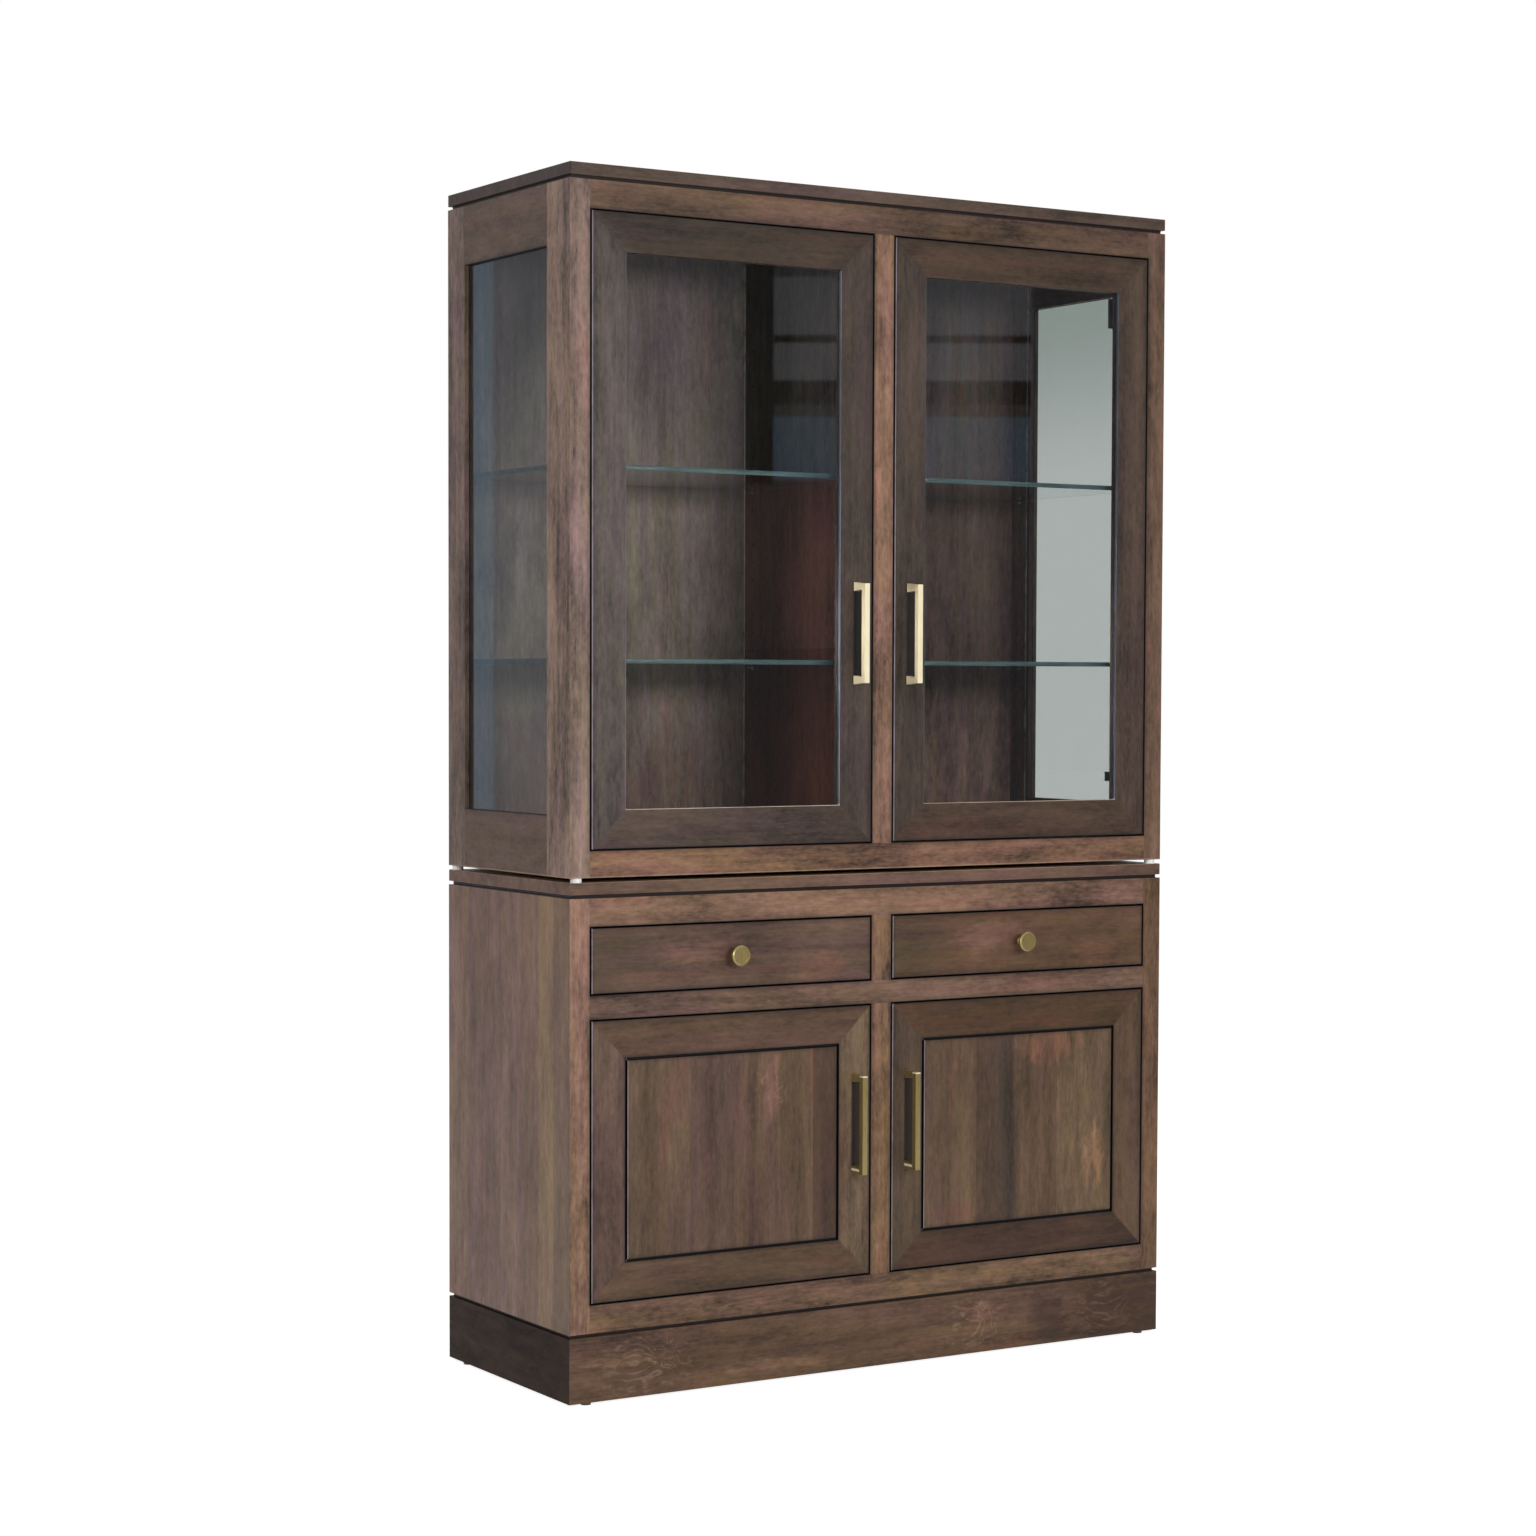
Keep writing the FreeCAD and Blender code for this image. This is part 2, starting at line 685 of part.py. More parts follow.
def hinge_arm(side, level):
    """A cranked arm: an eye on the pin, round the door's back, and along its plate."""
    low = f"{level} - arm_height / 2"
    eye = cylinder((along_door(side, "hinge_axis_inset"), "hinge_axis_y", low), "z",
                   "hinge_pin_diameter + 2 * hinge_pin_clearance + 2 * eye_wall", "arm_height")
    bore = cylinder((along_door(side, "hinge_axis_inset"), "hinge_axis_y", low), "z",
                    "hinge_pin_diameter + 2 * hinge_pin_clearance", "arm_height")
    neck_y = "hinge_axis_y - arm_thickness / 2"
    turn_y = "hinge_axis_y + arm_reach"
    plate_face = "-door_gap + plate_thickness"
    out = "hinge_axis_inset + arm_offset"
    runs = [
        ("hinge_axis_inset", neck_y, f"{out} + arm_thickness - hinge_axis_inset", "arm_thickness"),
        (out, neck_y, "arm_thickness", f"{turn_y} + arm_thickness - ({neck_y})"),
        (plate_face, turn_y, f"{out} + arm_thickness - ({plate_face})", "arm_thickness"),
        (plate_face, turn_y, "arm_thickness", "arm_tail"),
    ]
    legs = [box((along_door(side, start, width), y, low), (width, depth, "arm_height"))
            for start, y, width, depth in runs]
    return cut(fuse(eye, *legs), bore)


def damper(side, level):
    """The soft-closing block behind a hinge arm's outer leg."""
    outer = "hinge_axis_inset + arm_offset + arm_thickness"
    return box((along_door(side, f"{outer} - damper_width", "damper_width"),
                "hinge_axis_y + arm_reach + arm_thickness", f"{level} - damper_drop"),
               ("damper_width", "damper_thickness", "damper_height"), "Damper")


def hinge_mounting(side, level):
    """The packing block on the cabinet's side and the plate screwed to it."""
    near = "hinge_axis_y + arm_reach + arm_thickness"
    block_width = "stile_width - side_thickness"
    block = box((along_door(side, f"-door_gap - ({block_width})", block_width), near,
                 f"{level} - plate_height / 2"), (block_width, "hinge_block_length", "plate_height"))
    plate = box((along_door(side, "-door_gap", "plate_thickness"), near, f"{level} - plate_height / 2"),
                ("plate_thickness", "plate_length", "plate_height"))
    return block, plate


# ---------------------------------------------------------------- pulls, knobs and their screws
def bar_pull(x, level, name):
    """A square bar on two posts that widen towards the door's front, and its two screws."""
    half = "pull_centres / 2 + pull_bar / 2"
    inner = "pull_centres / 2 - pull_bar / 2"
    foot_half = "pull_centres / 2 + pull_foot / 2"
    foot_inner = "pull_centres / 2 - pull_foot / 2"
    under = "pull_bar - pull_projection"
    points = [
        ("0", f"-({foot_half})"), (under, f"-({half})"), ("-pull_projection", f"-({half})"),
        ("-pull_projection", half), (under, half), ("0", foot_half),
        ("0", foot_inner), (under, inner), (under, f"-({inner})"), ("0", f"-({foot_inner})"),
    ]
    bar = padded("YZ_Plane", points, "pull_bar", name)
    put(bar, f"{x} - pull_bar / 2", "front", level)
    posts = [f"{level} {sign} pull_centres / 2" for sign in "-+"]
    screws = [screw(x, post) for post in posts]
    return cut(bar, *[tapping(x, post) for post in posts]), screws


def screw(x, level):
    """A machine screw from the door's back into the piece on its front."""
    shank = cylinder((x, "front - screw_grip", level), "y", "screw_diameter", "screw_grip + door_thickness")
    head = cylinder((x, "door_back", level), "y", "screw_head", "screw_head_height")
    return fuse(shank, head)


def tapping(x, level):
    return cylinder((x, "front - screw_grip", level), "y", "screw_diameter", "screw_grip")


def screw_hole(x, level):
    return cylinder((x, "front", level), "y", "screw_diameter + 2 * screw_clearance", "door_thickness")


def knob(x, level, name):
    """A turned knob: a broad disc, dished inside its rim, on a stem that flares to a foot."""
    rim = "knob_diameter / 2"
    dish = "knob_diameter / 2 - knob_ring"
    stem = "knob_stem / 2"
    foot = "knob_foot / 2"
    ease = "knob_edge / 4"
    points = [
        ("0", "0"), (foot, "0"), (foot, "-knob_foot_height / 2"), (stem, "-knob_foot_height"),
        (stem, "knob_edge - knob_projection"), (f"{rim} - {ease}", "knob_edge - knob_projection"),
        (rim, f"knob_edge - knob_projection - {ease}"), (rim, f"{ease} - knob_projection"),
        (f"{rim} - {ease}", "-knob_projection"), (dish, "-knob_projection"),
        (dish, "knob_dish - knob_projection"), ("0", "knob_dish - knob_projection"),
    ]
    made = turned(points, name)
    put(made, x, "front", level)
    return cut(made, tapping(x, level)), screw(x, level)


# ---------------------------------------------------------------- doors
def free_edge(side, distance):
    """The x that is `distance` inside a door's free edge."""
    edge, sign = door_edge(side)
    return f"{edge} {sign} (door_width - {distance})"


def door_low_x(side):
    return "(open_left + door_gap)" if side == "left" else "(bay_right_start + door_gap)"


def glass_door(side):
    """A mitred frame with a pane in its rabbet, held by beads."""
    name = f"upper_{side}"
    x, low = door_low_x(side), "upper_door_low"
    levels = hinge_levels(low, "upper_door_height")
    stiles, rails = mitred_frame(x, "front", low, "door_width", "upper_door_height",
                                 "door_member", "door_thickness")
    edge = "door_member - rabbet_width"
    corner = (f"{x} + {edge}", "glass_near", f"{low} + {edge}")
    span = (f"door_width - 2 * ({edge})", "door_back - glass_near", f"upper_door_height - 2 * ({edge})")
    rabbet = box(corner, span, "Rabbet")
    pull_x, pull_level = free_edge(side, "door_member / 2"), f"{low} + upper_pull_height"
    pull, screws = bar_pull(pull_x, pull_level, "UpperPull")
    holes = [screw_hole(pull_x, f"{pull_level} {sign} pull_centres / 2") for sign in "-+"]
    hinged = 0 if side == "left" else 1
    stiles[hinged] = cut(stiles[hinged], rabbet, *[cup_bore(side, level) for level in levels])
    stiles[1 - hinged] = cut(stiles[1 - hinged], rabbet, *holes)
    node(f"{name}_frame", together(*stiles, *[cut(rail, rabbet) for rail in rails]))
    gap = "glass_clearance"
    node(f"{name}_glass", box((f"{corner[0]} + {gap}", "glass_near", f"{corner[2]} + {gap}"),
                              (f"{span[0]} - 2 * {gap}", "glass_thickness", f"{span[2]} - 2 * {gap}")))
    node(f"{name}_beads", together(*strips((corner[0], "glass_far", corner[2]),
                                           (span[0], "door_back - glass_far", span[2]),
                                           "y", "rabbet_width")))
    node(f"{name}_pull", together(pull, *screws))
    return levels


def panel_door(side):
    """A mitred frame round a flush panel whose tongue sits in the frame's groove."""
    name = f"lower_{side}"
    x, low = door_low_x(side), "lower_door_low"
    levels = hinge_levels(low, "lower_door_height")
    stiles, rails = mitred_frame(x, "front", low, "door_width", "lower_door_height",
                                 "door_member", "door_thickness")
    field = "door_member + panel_reveal"
    tongue = "door_member - panel_tongue"
    groove = "door_member - rabbet_width"
    raised = box((f"{x} + {field}", "front", f"{low} + {field}"),
                 (f"door_width - 2 * ({field})", "panel_field_depth", f"lower_door_height - 2 * ({field})"))
    plate = box((f"{x} + {tongue}", "front + panel_field_depth", f"{low} + {tongue}"),
                (f"door_width - 2 * ({tongue})", "panel_tongue_thickness",
                 f"lower_door_height - 2 * ({tongue})"))
    groove_cut = box((f"{x} + {groove}", "front + panel_field_depth", f"{low} + {groove}"),
                     (f"door_width - 2 * ({groove})", "panel_tongue_thickness",
                      f"lower_door_height - 2 * ({groove})"))
    pull_x, pull_level = free_edge(side, "door_member / 2"), f"{low} + lower_pull_height"
    pull, screws = bar_pull(pull_x, pull_level, "LowerPull")
    holes = [screw_hole(pull_x, f"{pull_level} {sign} pull_centres / 2") for sign in "-+"]
    hinged = 0 if side == "left" else 1
    stiles[hinged] = cut(stiles[hinged], groove_cut, *[cup_bore(side, level) for level in levels])
    stiles[1 - hinged] = cut(stiles[1 - hinged], groove_cut, *holes)
    node(f"{name}_frame", together(*stiles, *[cut(rail, groove_cut) for rail in rails]))
    node(f"{name}_panel", fuse(raised, plate))
    node(f"{name}_pull", together(pull, *screws))
    return levels


def hinges(doors):
    """Cups on each door; blocks, plates and arms on the cabinet."""
    arms, blocks = [], []
    for name, side, levels in doors:
        cups = []
        for level in levels:
            cups += hinge_cup(side, level)
            block, plate = hinge_mounting(side, level)
            arms += [hinge_arm(side, level), plate]
            blocks.append(block)
        if "upper" in name:
            arms.append(damper(side, levels[-1]))
        node(f"{name}_hinge_cups", together(*cups))
    node("hinge_arms", together(*arms))
    return blocks


# ---------------------------------------------------------------- drawers
def slide_channel(low_x, opens):
    """A C section that opens towards +x or -x; returns the cabinet's member."""
    outer = box((low_x, "door_back", "slide_low"), ("slide_lip", "slide_length", "slide_height"))
    inner_x = f"{low_x} + slide_metal" if opens == "+" else f"{low_x} - slide_metal"
    hollow = box((inner_x, "door_back", "slide_low + slide_metal"),
                 ("slide_lip", "slide_length", "slide_height - 2 * slide_metal"))
    return cut(outer, hollow)


def slide_rail(low_x, opens):
    """The drawer's member, which nests in the cabinet's with a little play."""
    inset = "slide_metal + slide_play"
    width = "slide_thickness - slide_metal - slide_play"
    outer = box((low_x, "door_back", f"slide_low + {inset}"),
                (width, "slide_length", f"slide_height - 2 * ({inset})"))
    inner_x = f"{low_x} + slide_metal" if opens == "+" else f"{low_x} - slide_metal"
    hollow = box((inner_x, "door_back", f"slide_low + {inset} + slide_metal"),
                 (width, "slide_length", f"slide_height - 2 * ({inset}) - 2 * slide_metal"))
    return cut(outer, hollow)


def drawer(side):
    """An inset drawer: its front, box, knob and the rails of its slides."""
    name = f"{side}_drawer"
    open_x = "open_left" if side == "left" else "bay_right_start"
    front_x = f"{open_x} + door_gap"
    centre_x = f"{open_x} + bay_width / 2"
    level = "drawer_front_low + drawer_front_height / 2"
    board = box((front_x, "front", "drawer_front_low"), ("door_width", "door_thickness", "drawer_front_height"))
    node(f"{name}_front", cut(board, screw_hole(centre_x, level)))
    knob_body, knob_screw = knob(centre_x, level, "Knob")
    node(f"{name}_knob", together(knob_body, knob_screw))
    box_x = f"{open_x} + slide_thickness"
    thick = "drawer_side_thickness"
    bottom = box((f"{box_x} + {thick} - drawer_bottom_groove",
                  f"door_back + {thick} - drawer_bottom_groove", "box_low + drawer_bottom_lift"),
                 (f"box_width - 2 * {thick} + 2 * drawer_bottom_groove",
                  f"drawer_box_length - 2 * {thick} + 2 * drawer_bottom_groove", "drawer_bottom_thickness"))
    relief = cylinder((centre_x, "door_back", level), "y", "screw_head + 2 * screw_clearance", thick)
    boards = [
        box((box_x, "door_back", "box_low"), (thick, "drawer_box_length", "drawer_box_height")),
        box((f"{box_x} + box_width - {thick}", "door_back", "box_low"),
            (thick, "drawer_box_length", "drawer_box_height")),
    ]
    for y in ("door_back", f"door_back + drawer_box_length - {thick}"):
        boards.append(box((f"{box_x} + {thick}", y, "box_low"),
                          (f"box_width - 2 * {thick}", thick, "drawer_box_height")))
    pieces = [cut(one, bottom) for one in boards]
    pieces[2] = cut(pieces[2], relief)
    node(f"{name}_box", together(*pieces, bottom))
    rails = [slide_rail(f"{open_x} + slide_metal + slide_play", "-"),
             slide_rail(f"{open_x} + bay_width - slide_thickness", "+")]
    node(f"{name}_rails", together(*rails))
    channels = [slide_channel(open_x, "+"), slide_channel(f"{open_x} + bay_width - slide_lip", "-")]
    return channels


def slide_blocks():
    """Packing from the sides and the partition out to the line of the openings."""
    low = "slide_low + slide_height / 2 - slide_block_height / 2"
    side_pack = "stile_width - side_thickness"
    middle_pack = "mullion_width / 2 - partition_thickness / 2"
    spots = (("inner_left", side_pack), ("-mullion_width / 2", middle_pack),
             ("partition_thickness / 2", middle_pack), ("right - stile_width", side_pack))
    return [box((x, "behind_frame", low), (width, "slide_length", "slide_block_height"))
            for x, width in spots]


# ---------------------------------------------------------------- the whole
plinth()
top_boards()
base_case()
hutch_case()
node("shelf_pins", together(*base_shelves(), *glass_shelves()))
DOORS = []
for hand in ("left", "right"):
    DOORS.append((f"upper_{hand}", hand, glass_door(hand)))
for hand in ("left", "right"):
    DOORS.append((f"lower_{hand}", hand, panel_door(hand)))
hinge_blocks = hinges(DOORS)
slides = drawer("left") + drawer("right")
node("slide_channels", together(*slides))
node("packing_blocks", together(*hinge_blocks, *slide_blocks()))

doc.recompute()

for thing in doc.Objects:
    if "Invalid" in thing.State or "Error" in thing.State:
        raise RuntimeError(f"{thing.Name} ({thing.Label}) failed: {thing.State}")
for thing in NODES:
    if thing.Shape.isNull() or not thing.Shape.isValid():
        raise RuntimeError(f"{thing.Label} has no valid shape")

os.makedirs("parts", exist_ok=True)
for thing in NODES:
    thing.Shape.exportStep(f"parts/{thing.Label}.step")
print(len(NODES), "nodes,", sum(len(thing.Shape.Solids) for thing in NODES), "solids")
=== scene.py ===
"""Dresser with a glazed hutch: finishes, fittings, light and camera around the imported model.

Metres, +Z up. The front faces -Y and +X is the viewer's right.
"""

import math

import bmesh
import bpy
from mathutils import Matrix, Vector


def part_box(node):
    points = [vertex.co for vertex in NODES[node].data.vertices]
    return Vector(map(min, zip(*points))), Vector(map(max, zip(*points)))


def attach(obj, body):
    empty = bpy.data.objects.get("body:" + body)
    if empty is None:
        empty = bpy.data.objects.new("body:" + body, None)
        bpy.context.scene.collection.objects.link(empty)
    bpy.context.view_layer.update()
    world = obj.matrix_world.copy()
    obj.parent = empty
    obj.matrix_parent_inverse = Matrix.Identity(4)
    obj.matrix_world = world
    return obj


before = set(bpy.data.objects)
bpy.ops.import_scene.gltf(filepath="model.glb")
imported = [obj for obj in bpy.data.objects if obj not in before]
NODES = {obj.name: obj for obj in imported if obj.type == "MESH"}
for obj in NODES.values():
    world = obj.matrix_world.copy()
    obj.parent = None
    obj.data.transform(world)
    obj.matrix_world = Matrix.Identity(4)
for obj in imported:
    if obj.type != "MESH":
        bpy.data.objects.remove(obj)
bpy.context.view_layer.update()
MM = 0.001


def srgb(red, green, blue):
    """A colour as a paint chart gives it (0 to 255), in the renderer's linear light."""
    def linear(channel):
        share = channel / 255
        return share / 12.92 if share <= 0.04045 else ((share + 0.055) / 1.055) ** 2.4
    return (linear(red), linear(green), linear(blue), 1.0)


# ------------------------ building a finish from nodes
class Nodes:
    """A node tree, and short ways to add to it."""

    def __init__(self, tree, output):
        self.tree = tree
        tree.nodes.clear()
        self.output = self.add(output)

    def add(self, kind, **settings):
        made = self.tree.nodes.new(kind)
        for name, setting in settings.items():
            setattr(made, name, setting)
        return made

    def join(self, source, target):
        self.tree.links.new(source, target)

    def feed(self, target, source):
        """Links a socket, or sets a plain value."""
        if isinstance(source, bpy.types.NodeSocket):
            self.join(source, target)
        else:
            target.default_value = source

    def maths(self, operation, first, second=0.0):
        made = self.add("ShaderNodeMath", operation=operation)
        self.feed(made.inputs[0], first)
        self.feed(made.inputs[1], second)
        return made.outputs[0]

    def shader(self, kind, **values):
        made = self.add(kind)
        for name, value in values.items():
            self.feed(made.inputs[name], value)
        return made.outputs[0]

    def show(self, factor, first, second):
        """Makes the surface one shader where factor is 0 and the other where it's 1."""
        mix = self.add("ShaderNodeMixShader")
        for target, source in zip(mix.inputs, (factor, first, second)):
            self.join(source, target)
        self.join(mix.outputs[0], self.output.inputs["Surface"])

    def seen_directly(self):
        """1 for rays from the camera, in a mirror or through glass."""
        path = self.add("ShaderNodeLightPath").outputs
        seen = path["Is Camera Ray"]
        for name in ("Is Glossy Ray", "Is Transmission Ray"):
            seen = self.maths("MAXIMUM", seen, path[name])
        return seen


class Finish(Nodes):
    """A material's nodes."""

    def __init__(self, name):
        self.material = bpy.data.materials.new(name)
        self.material.use_nodes = True
        super().__init__(self.material.node_tree, "ShaderNodeOutputMaterial")
        self.surface = self.add("ShaderNodeBsdfPrincipled")
        self.join(self.surface.outputs["BSDF"], self.output.inputs["Surface"])
        self.place = self.add("ShaderNodeTexCoord").outputs["Object"]
        self.split = None

    def total(self, *terms):
        """The sum of (value, weight) pairs."""
        added = None
        for value, weight in terms:
            term = self.maths("MULTIPLY", value, weight)
            added = term if added is None else self.maths("ADD", added, term)
        return added

    def stretched(self, place, scale, shift=(0.0, 0.0, 0.0)):
        made = self.add("ShaderNodeMapping")
        self.join(place, made.inputs["Vector"])
        made.inputs["Location"].default_value = shift
        made.inputs["Scale"].default_value = scale
        return made.outputs["Vector"]

    def noise(self, place, scale, detail=4.0, roughness=0.55, distortion=0.0):
        made = self.add("ShaderNodeTexNoise")
        self.join(place, made.inputs["Vector"])
        made.inputs["Scale"].default_value = scale
        made.inputs["Detail"].default_value = detail
        made.inputs["Roughness"].default_value = roughness
        made.inputs["Distortion"].default_value = distortion
        return made.outputs["Fac"]

    def ramp(self, factor, stops, interpolation):
        """A run of colours: stops are (place, colour)."""
        made = self.add("ShaderNodeValToRGB")
        made.color_ramp.interpolation = interpolation
        points = made.color_ramp.elements
        while len(points) < len(stops):
            points.new(0.5)
        for point, (place, colour) in zip(points, stops):
            point.position = place
            point.color = colour
        self.feed(made.inputs["Fac"], factor)
        return made.outputs["Color"]

    def levels(self, factor, low, high, to_low=0.0, to_high=1.0, smooth=False):
        made = self.add("ShaderNodeMapRange")
        if smooth:
            made.interpolation_type = "SMOOTHSTEP"
        self.feed(made.inputs["Value"], factor)
        made.inputs["From Min"].default_value = low
        made.inputs["From Max"].default_value = high
        made.inputs["To Min"].default_value = to_low
        made.inputs["To Max"].default_value = to_high
        return made.outputs["Result"]

    def blend(self, factor, first, second, mode="MIX"):
        made = self.add("ShaderNodeMix", data_type="RGBA", blend_type=mode)
        self.feed(made.inputs["Factor"], factor)
        self.feed(made.inputs[6], first)
        self.feed(made.inputs[7], second)
        return made.outputs[2]

    def either(self, factor, first, second):
        """One place or the other, as factor is 0 or 1."""
        made = self.add("ShaderNodeMix", data_type="VECTOR")
        self.feed(made.inputs["Factor"], factor)
        self.feed(made.inputs[4], first)
        self.feed(made.inputs[5], second)
        return made.outputs[1]

    def bump(self, height, strength, distance):
        made = self.add("ShaderNodeBump")
        made.inputs["Strength"].default_value = strength
        made.inputs["Distance"].default_value = distance
        self.join(height, made.inputs["Height"])
        self.join(made.outputs["Normal"], self.surface.inputs["Normal"])

    def axis(self, name):
        """The point's x, y or z."""
        if self.split is None:
            made = self.add("ShaderNodeSeparateXYZ")
            self.join(self.place, made.inputs[0])
            self.split = made.outputs
        return self.split["XYZ".index(name)]

    def grey(self, value):
        """One value as all three parts of a colour."""
        made = self.add("ShaderNodeCombineXYZ")
        for target in made.inputs:
            self.feed(target, value)
        return made.outputs[0]

    def away(self, axis, level):
        """Metres from a level, on either side."""
        return self.maths("ABSOLUTE", self.maths("SUBTRACT", self.axis(axis), level))

    def beyond(self, reaches):
        """Metres past the nearest side of a box of (axis, middle, half width), negative inside."""
        past = None
        for axis, middle, half in reaches:
            over = self.maths("SUBTRACT", self.away(axis, middle), half)
            past = over if past is None else self.maths("MAXIMUM", past, over)
        return past

    def finish(self, **values):
        for name, value in values.items():
            self.feed(self.surface.inputs[name.replace("_", " ")], value)
        return self.material


# ------------------------ tones laid out over a piece
class Rectangle:
    """A piece's outline seen from the front."""

    def __init__(self, node):
        low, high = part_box(node)
        self.left, self.right = low.x, high.x
        self.centre = ((low.x + high.x) / 2, (low.z + high.z) / 2)
        self.half = ((high.x - low.x) / 2, (high.z - low.z) / 2)

    def grown(self, by):
        """The outline moved outwards, as (axis, middle, reach) entries."""
        return [(name, middle, reach + by)
                for name, middle, reach in zip("XZ", self.centre, self.half)]


class Boards:
    """Boards side by side along an axis: (start, colour), and where the last one ends; the colour
    is a stain, save where a piece says it's painted light or shade.
    """

    def __init__(self, axis, starts, end):
        self.axis, self.starts, self.end = axis, starts, end

    def colour(self, finish):
        first = self.starts[0][0]
        share = finish.levels(finish.axis(self.axis), first, self.end)
        stops = [((start - first) / (self.end - first), tone) for start, tone in self.starts]
        return finish.ramp(share, stops, "CONSTANT")


class Faced:
    """Boards in front of a depth, and one colour on what lies behind it."""

    def __init__(self, front, depth, rear):
        self.front, self.depth, self.rear = front, depth, rear

    def colour(self, finish):
        behind = finish.levels(finish.axis("Y"), self.depth, self.depth + 0.5 * MM)
        return finish.blend(behind, self.front.colour(finish), self.rear)


class Mitred:
    """Four mitred members with their own stain: left, right, bottom and top.

    soft is how far the stain runs across a mitre, and joint how much dark glazing sits in it.
    """

    def __init__(self, outline, tones, soft, joint):
        self.outline, self.tones, self.soft, self.joint = outline, tones, soft, joint

    def sort(self, finish):
        """Works out which member a point is on, and how far it lies from the mitre."""
        x, z = (finish.maths("SUBTRACT", finish.axis(name), middle)
                for name, middle in zip("XZ", self.outline.centre))
        half_x, half_z = self.outline.half
        from_side = finish.maths("SUBTRACT", half_x, finish.maths("ABSOLUTE", x))
        from_end = finish.maths("SUBTRACT", half_z, finish.maths("ABSOLUTE", z))
        self.rail = finish.maths("LESS_THAN", from_end, from_side)
        self.right = finish.maths("GREATER_THAN", x, 0.0)
        self.top = finish.maths("GREATER_THAN", z, 0.0)
        across = finish.maths("SUBTRACT", from_side, from_end)
        self.seam = finish.maths("ABSOLUTE", across)
        self.run = finish.levels(across, -self.soft, self.soft, smooth=True)

    def colour(self, finish):
        left, right, bottom, top = self.tones
        return finish.blend(self.run, finish.blend(self.right, left, right),
                            finish.blend(self.top, bottom, top))


# ------------------------ stained maple
# Dark glazing colour, also used to paint the shade in gaps, grooves and behind the pulls.
GLAZE_AND_SHADE = srgb(20, 14, 12)
PLUM = (1.04, 0.93, 0.98, 1.0)
PLAIN = (1.03, 0.97, 0.93, 1.0)
OLIVE = (1.0, 0.98, 0.80, 1.0)
RUSSET = (1.12, 0.93, 0.86, 1.0)
DRIFT = [(0.38, PLUM), (0.46, PLAIN), (0.54, OLIVE), (0.60, PLAIN), (0.68, RUSSET)]

# What each pattern shrinks to along the grain: the smaller, the longer it's drawn out.
CLOUDY = 0.38
STREAKY = 0.055
DRIFTING = 0.11
CURLY = 0.7

# The figure's layers: draw along the grain, noise scale, detail, roughness, distortion, weight.
FIGURE = {
    "clouds": (CLOUDY, 10.0, 2.0, 0.5, 0.3, 0.30),
    "bands": (STREAKY, 34.0, 2.0, 0.5, 0.0, 0.22),
    "flames": (CLOUDY, 60.0, 4.0, 0.6, 0.4, 0.20),
    "streaks": (STREAKY, 120.0, 3.0, 0.55, 0.0, 0.13),
    "lines": (STREAKY, 420.0, 2.0, 0.5, 0.0, 0.10),
    "flecks": (CLOUDY, 190.0, 3.0, 0.6, 0.0, 0.19),
}
FIGURE_MIDDLE = 0.5 * sum(layer[-1] for layer in FIGURE.values())
FIGURE_SPREAD = 0.2
DARKEN, LIGHTEN = 0.85, 1.05
DARKEST = 0.3
RAGGED = 0.7
CURL_RINGS = 110.0
# The dark line along an outline: full up to the first width, gone by the second; at its darkest it
# paints the shade on the side faces of a gap or groove. The fade is how far the glazing reaches in.
GLAZE_LINE = (0.5 * MM, 1.4 * MM)
GLAZE_FADE = 9.0 * MM
MITRE_LINE = (0.3 * MM, 1.2 * MM)


def along(grain, pull):
    """Scale factors that draw a pattern out along the grain."""
    return tuple(pull if name == grain else 1.0 for name in "XYZ")


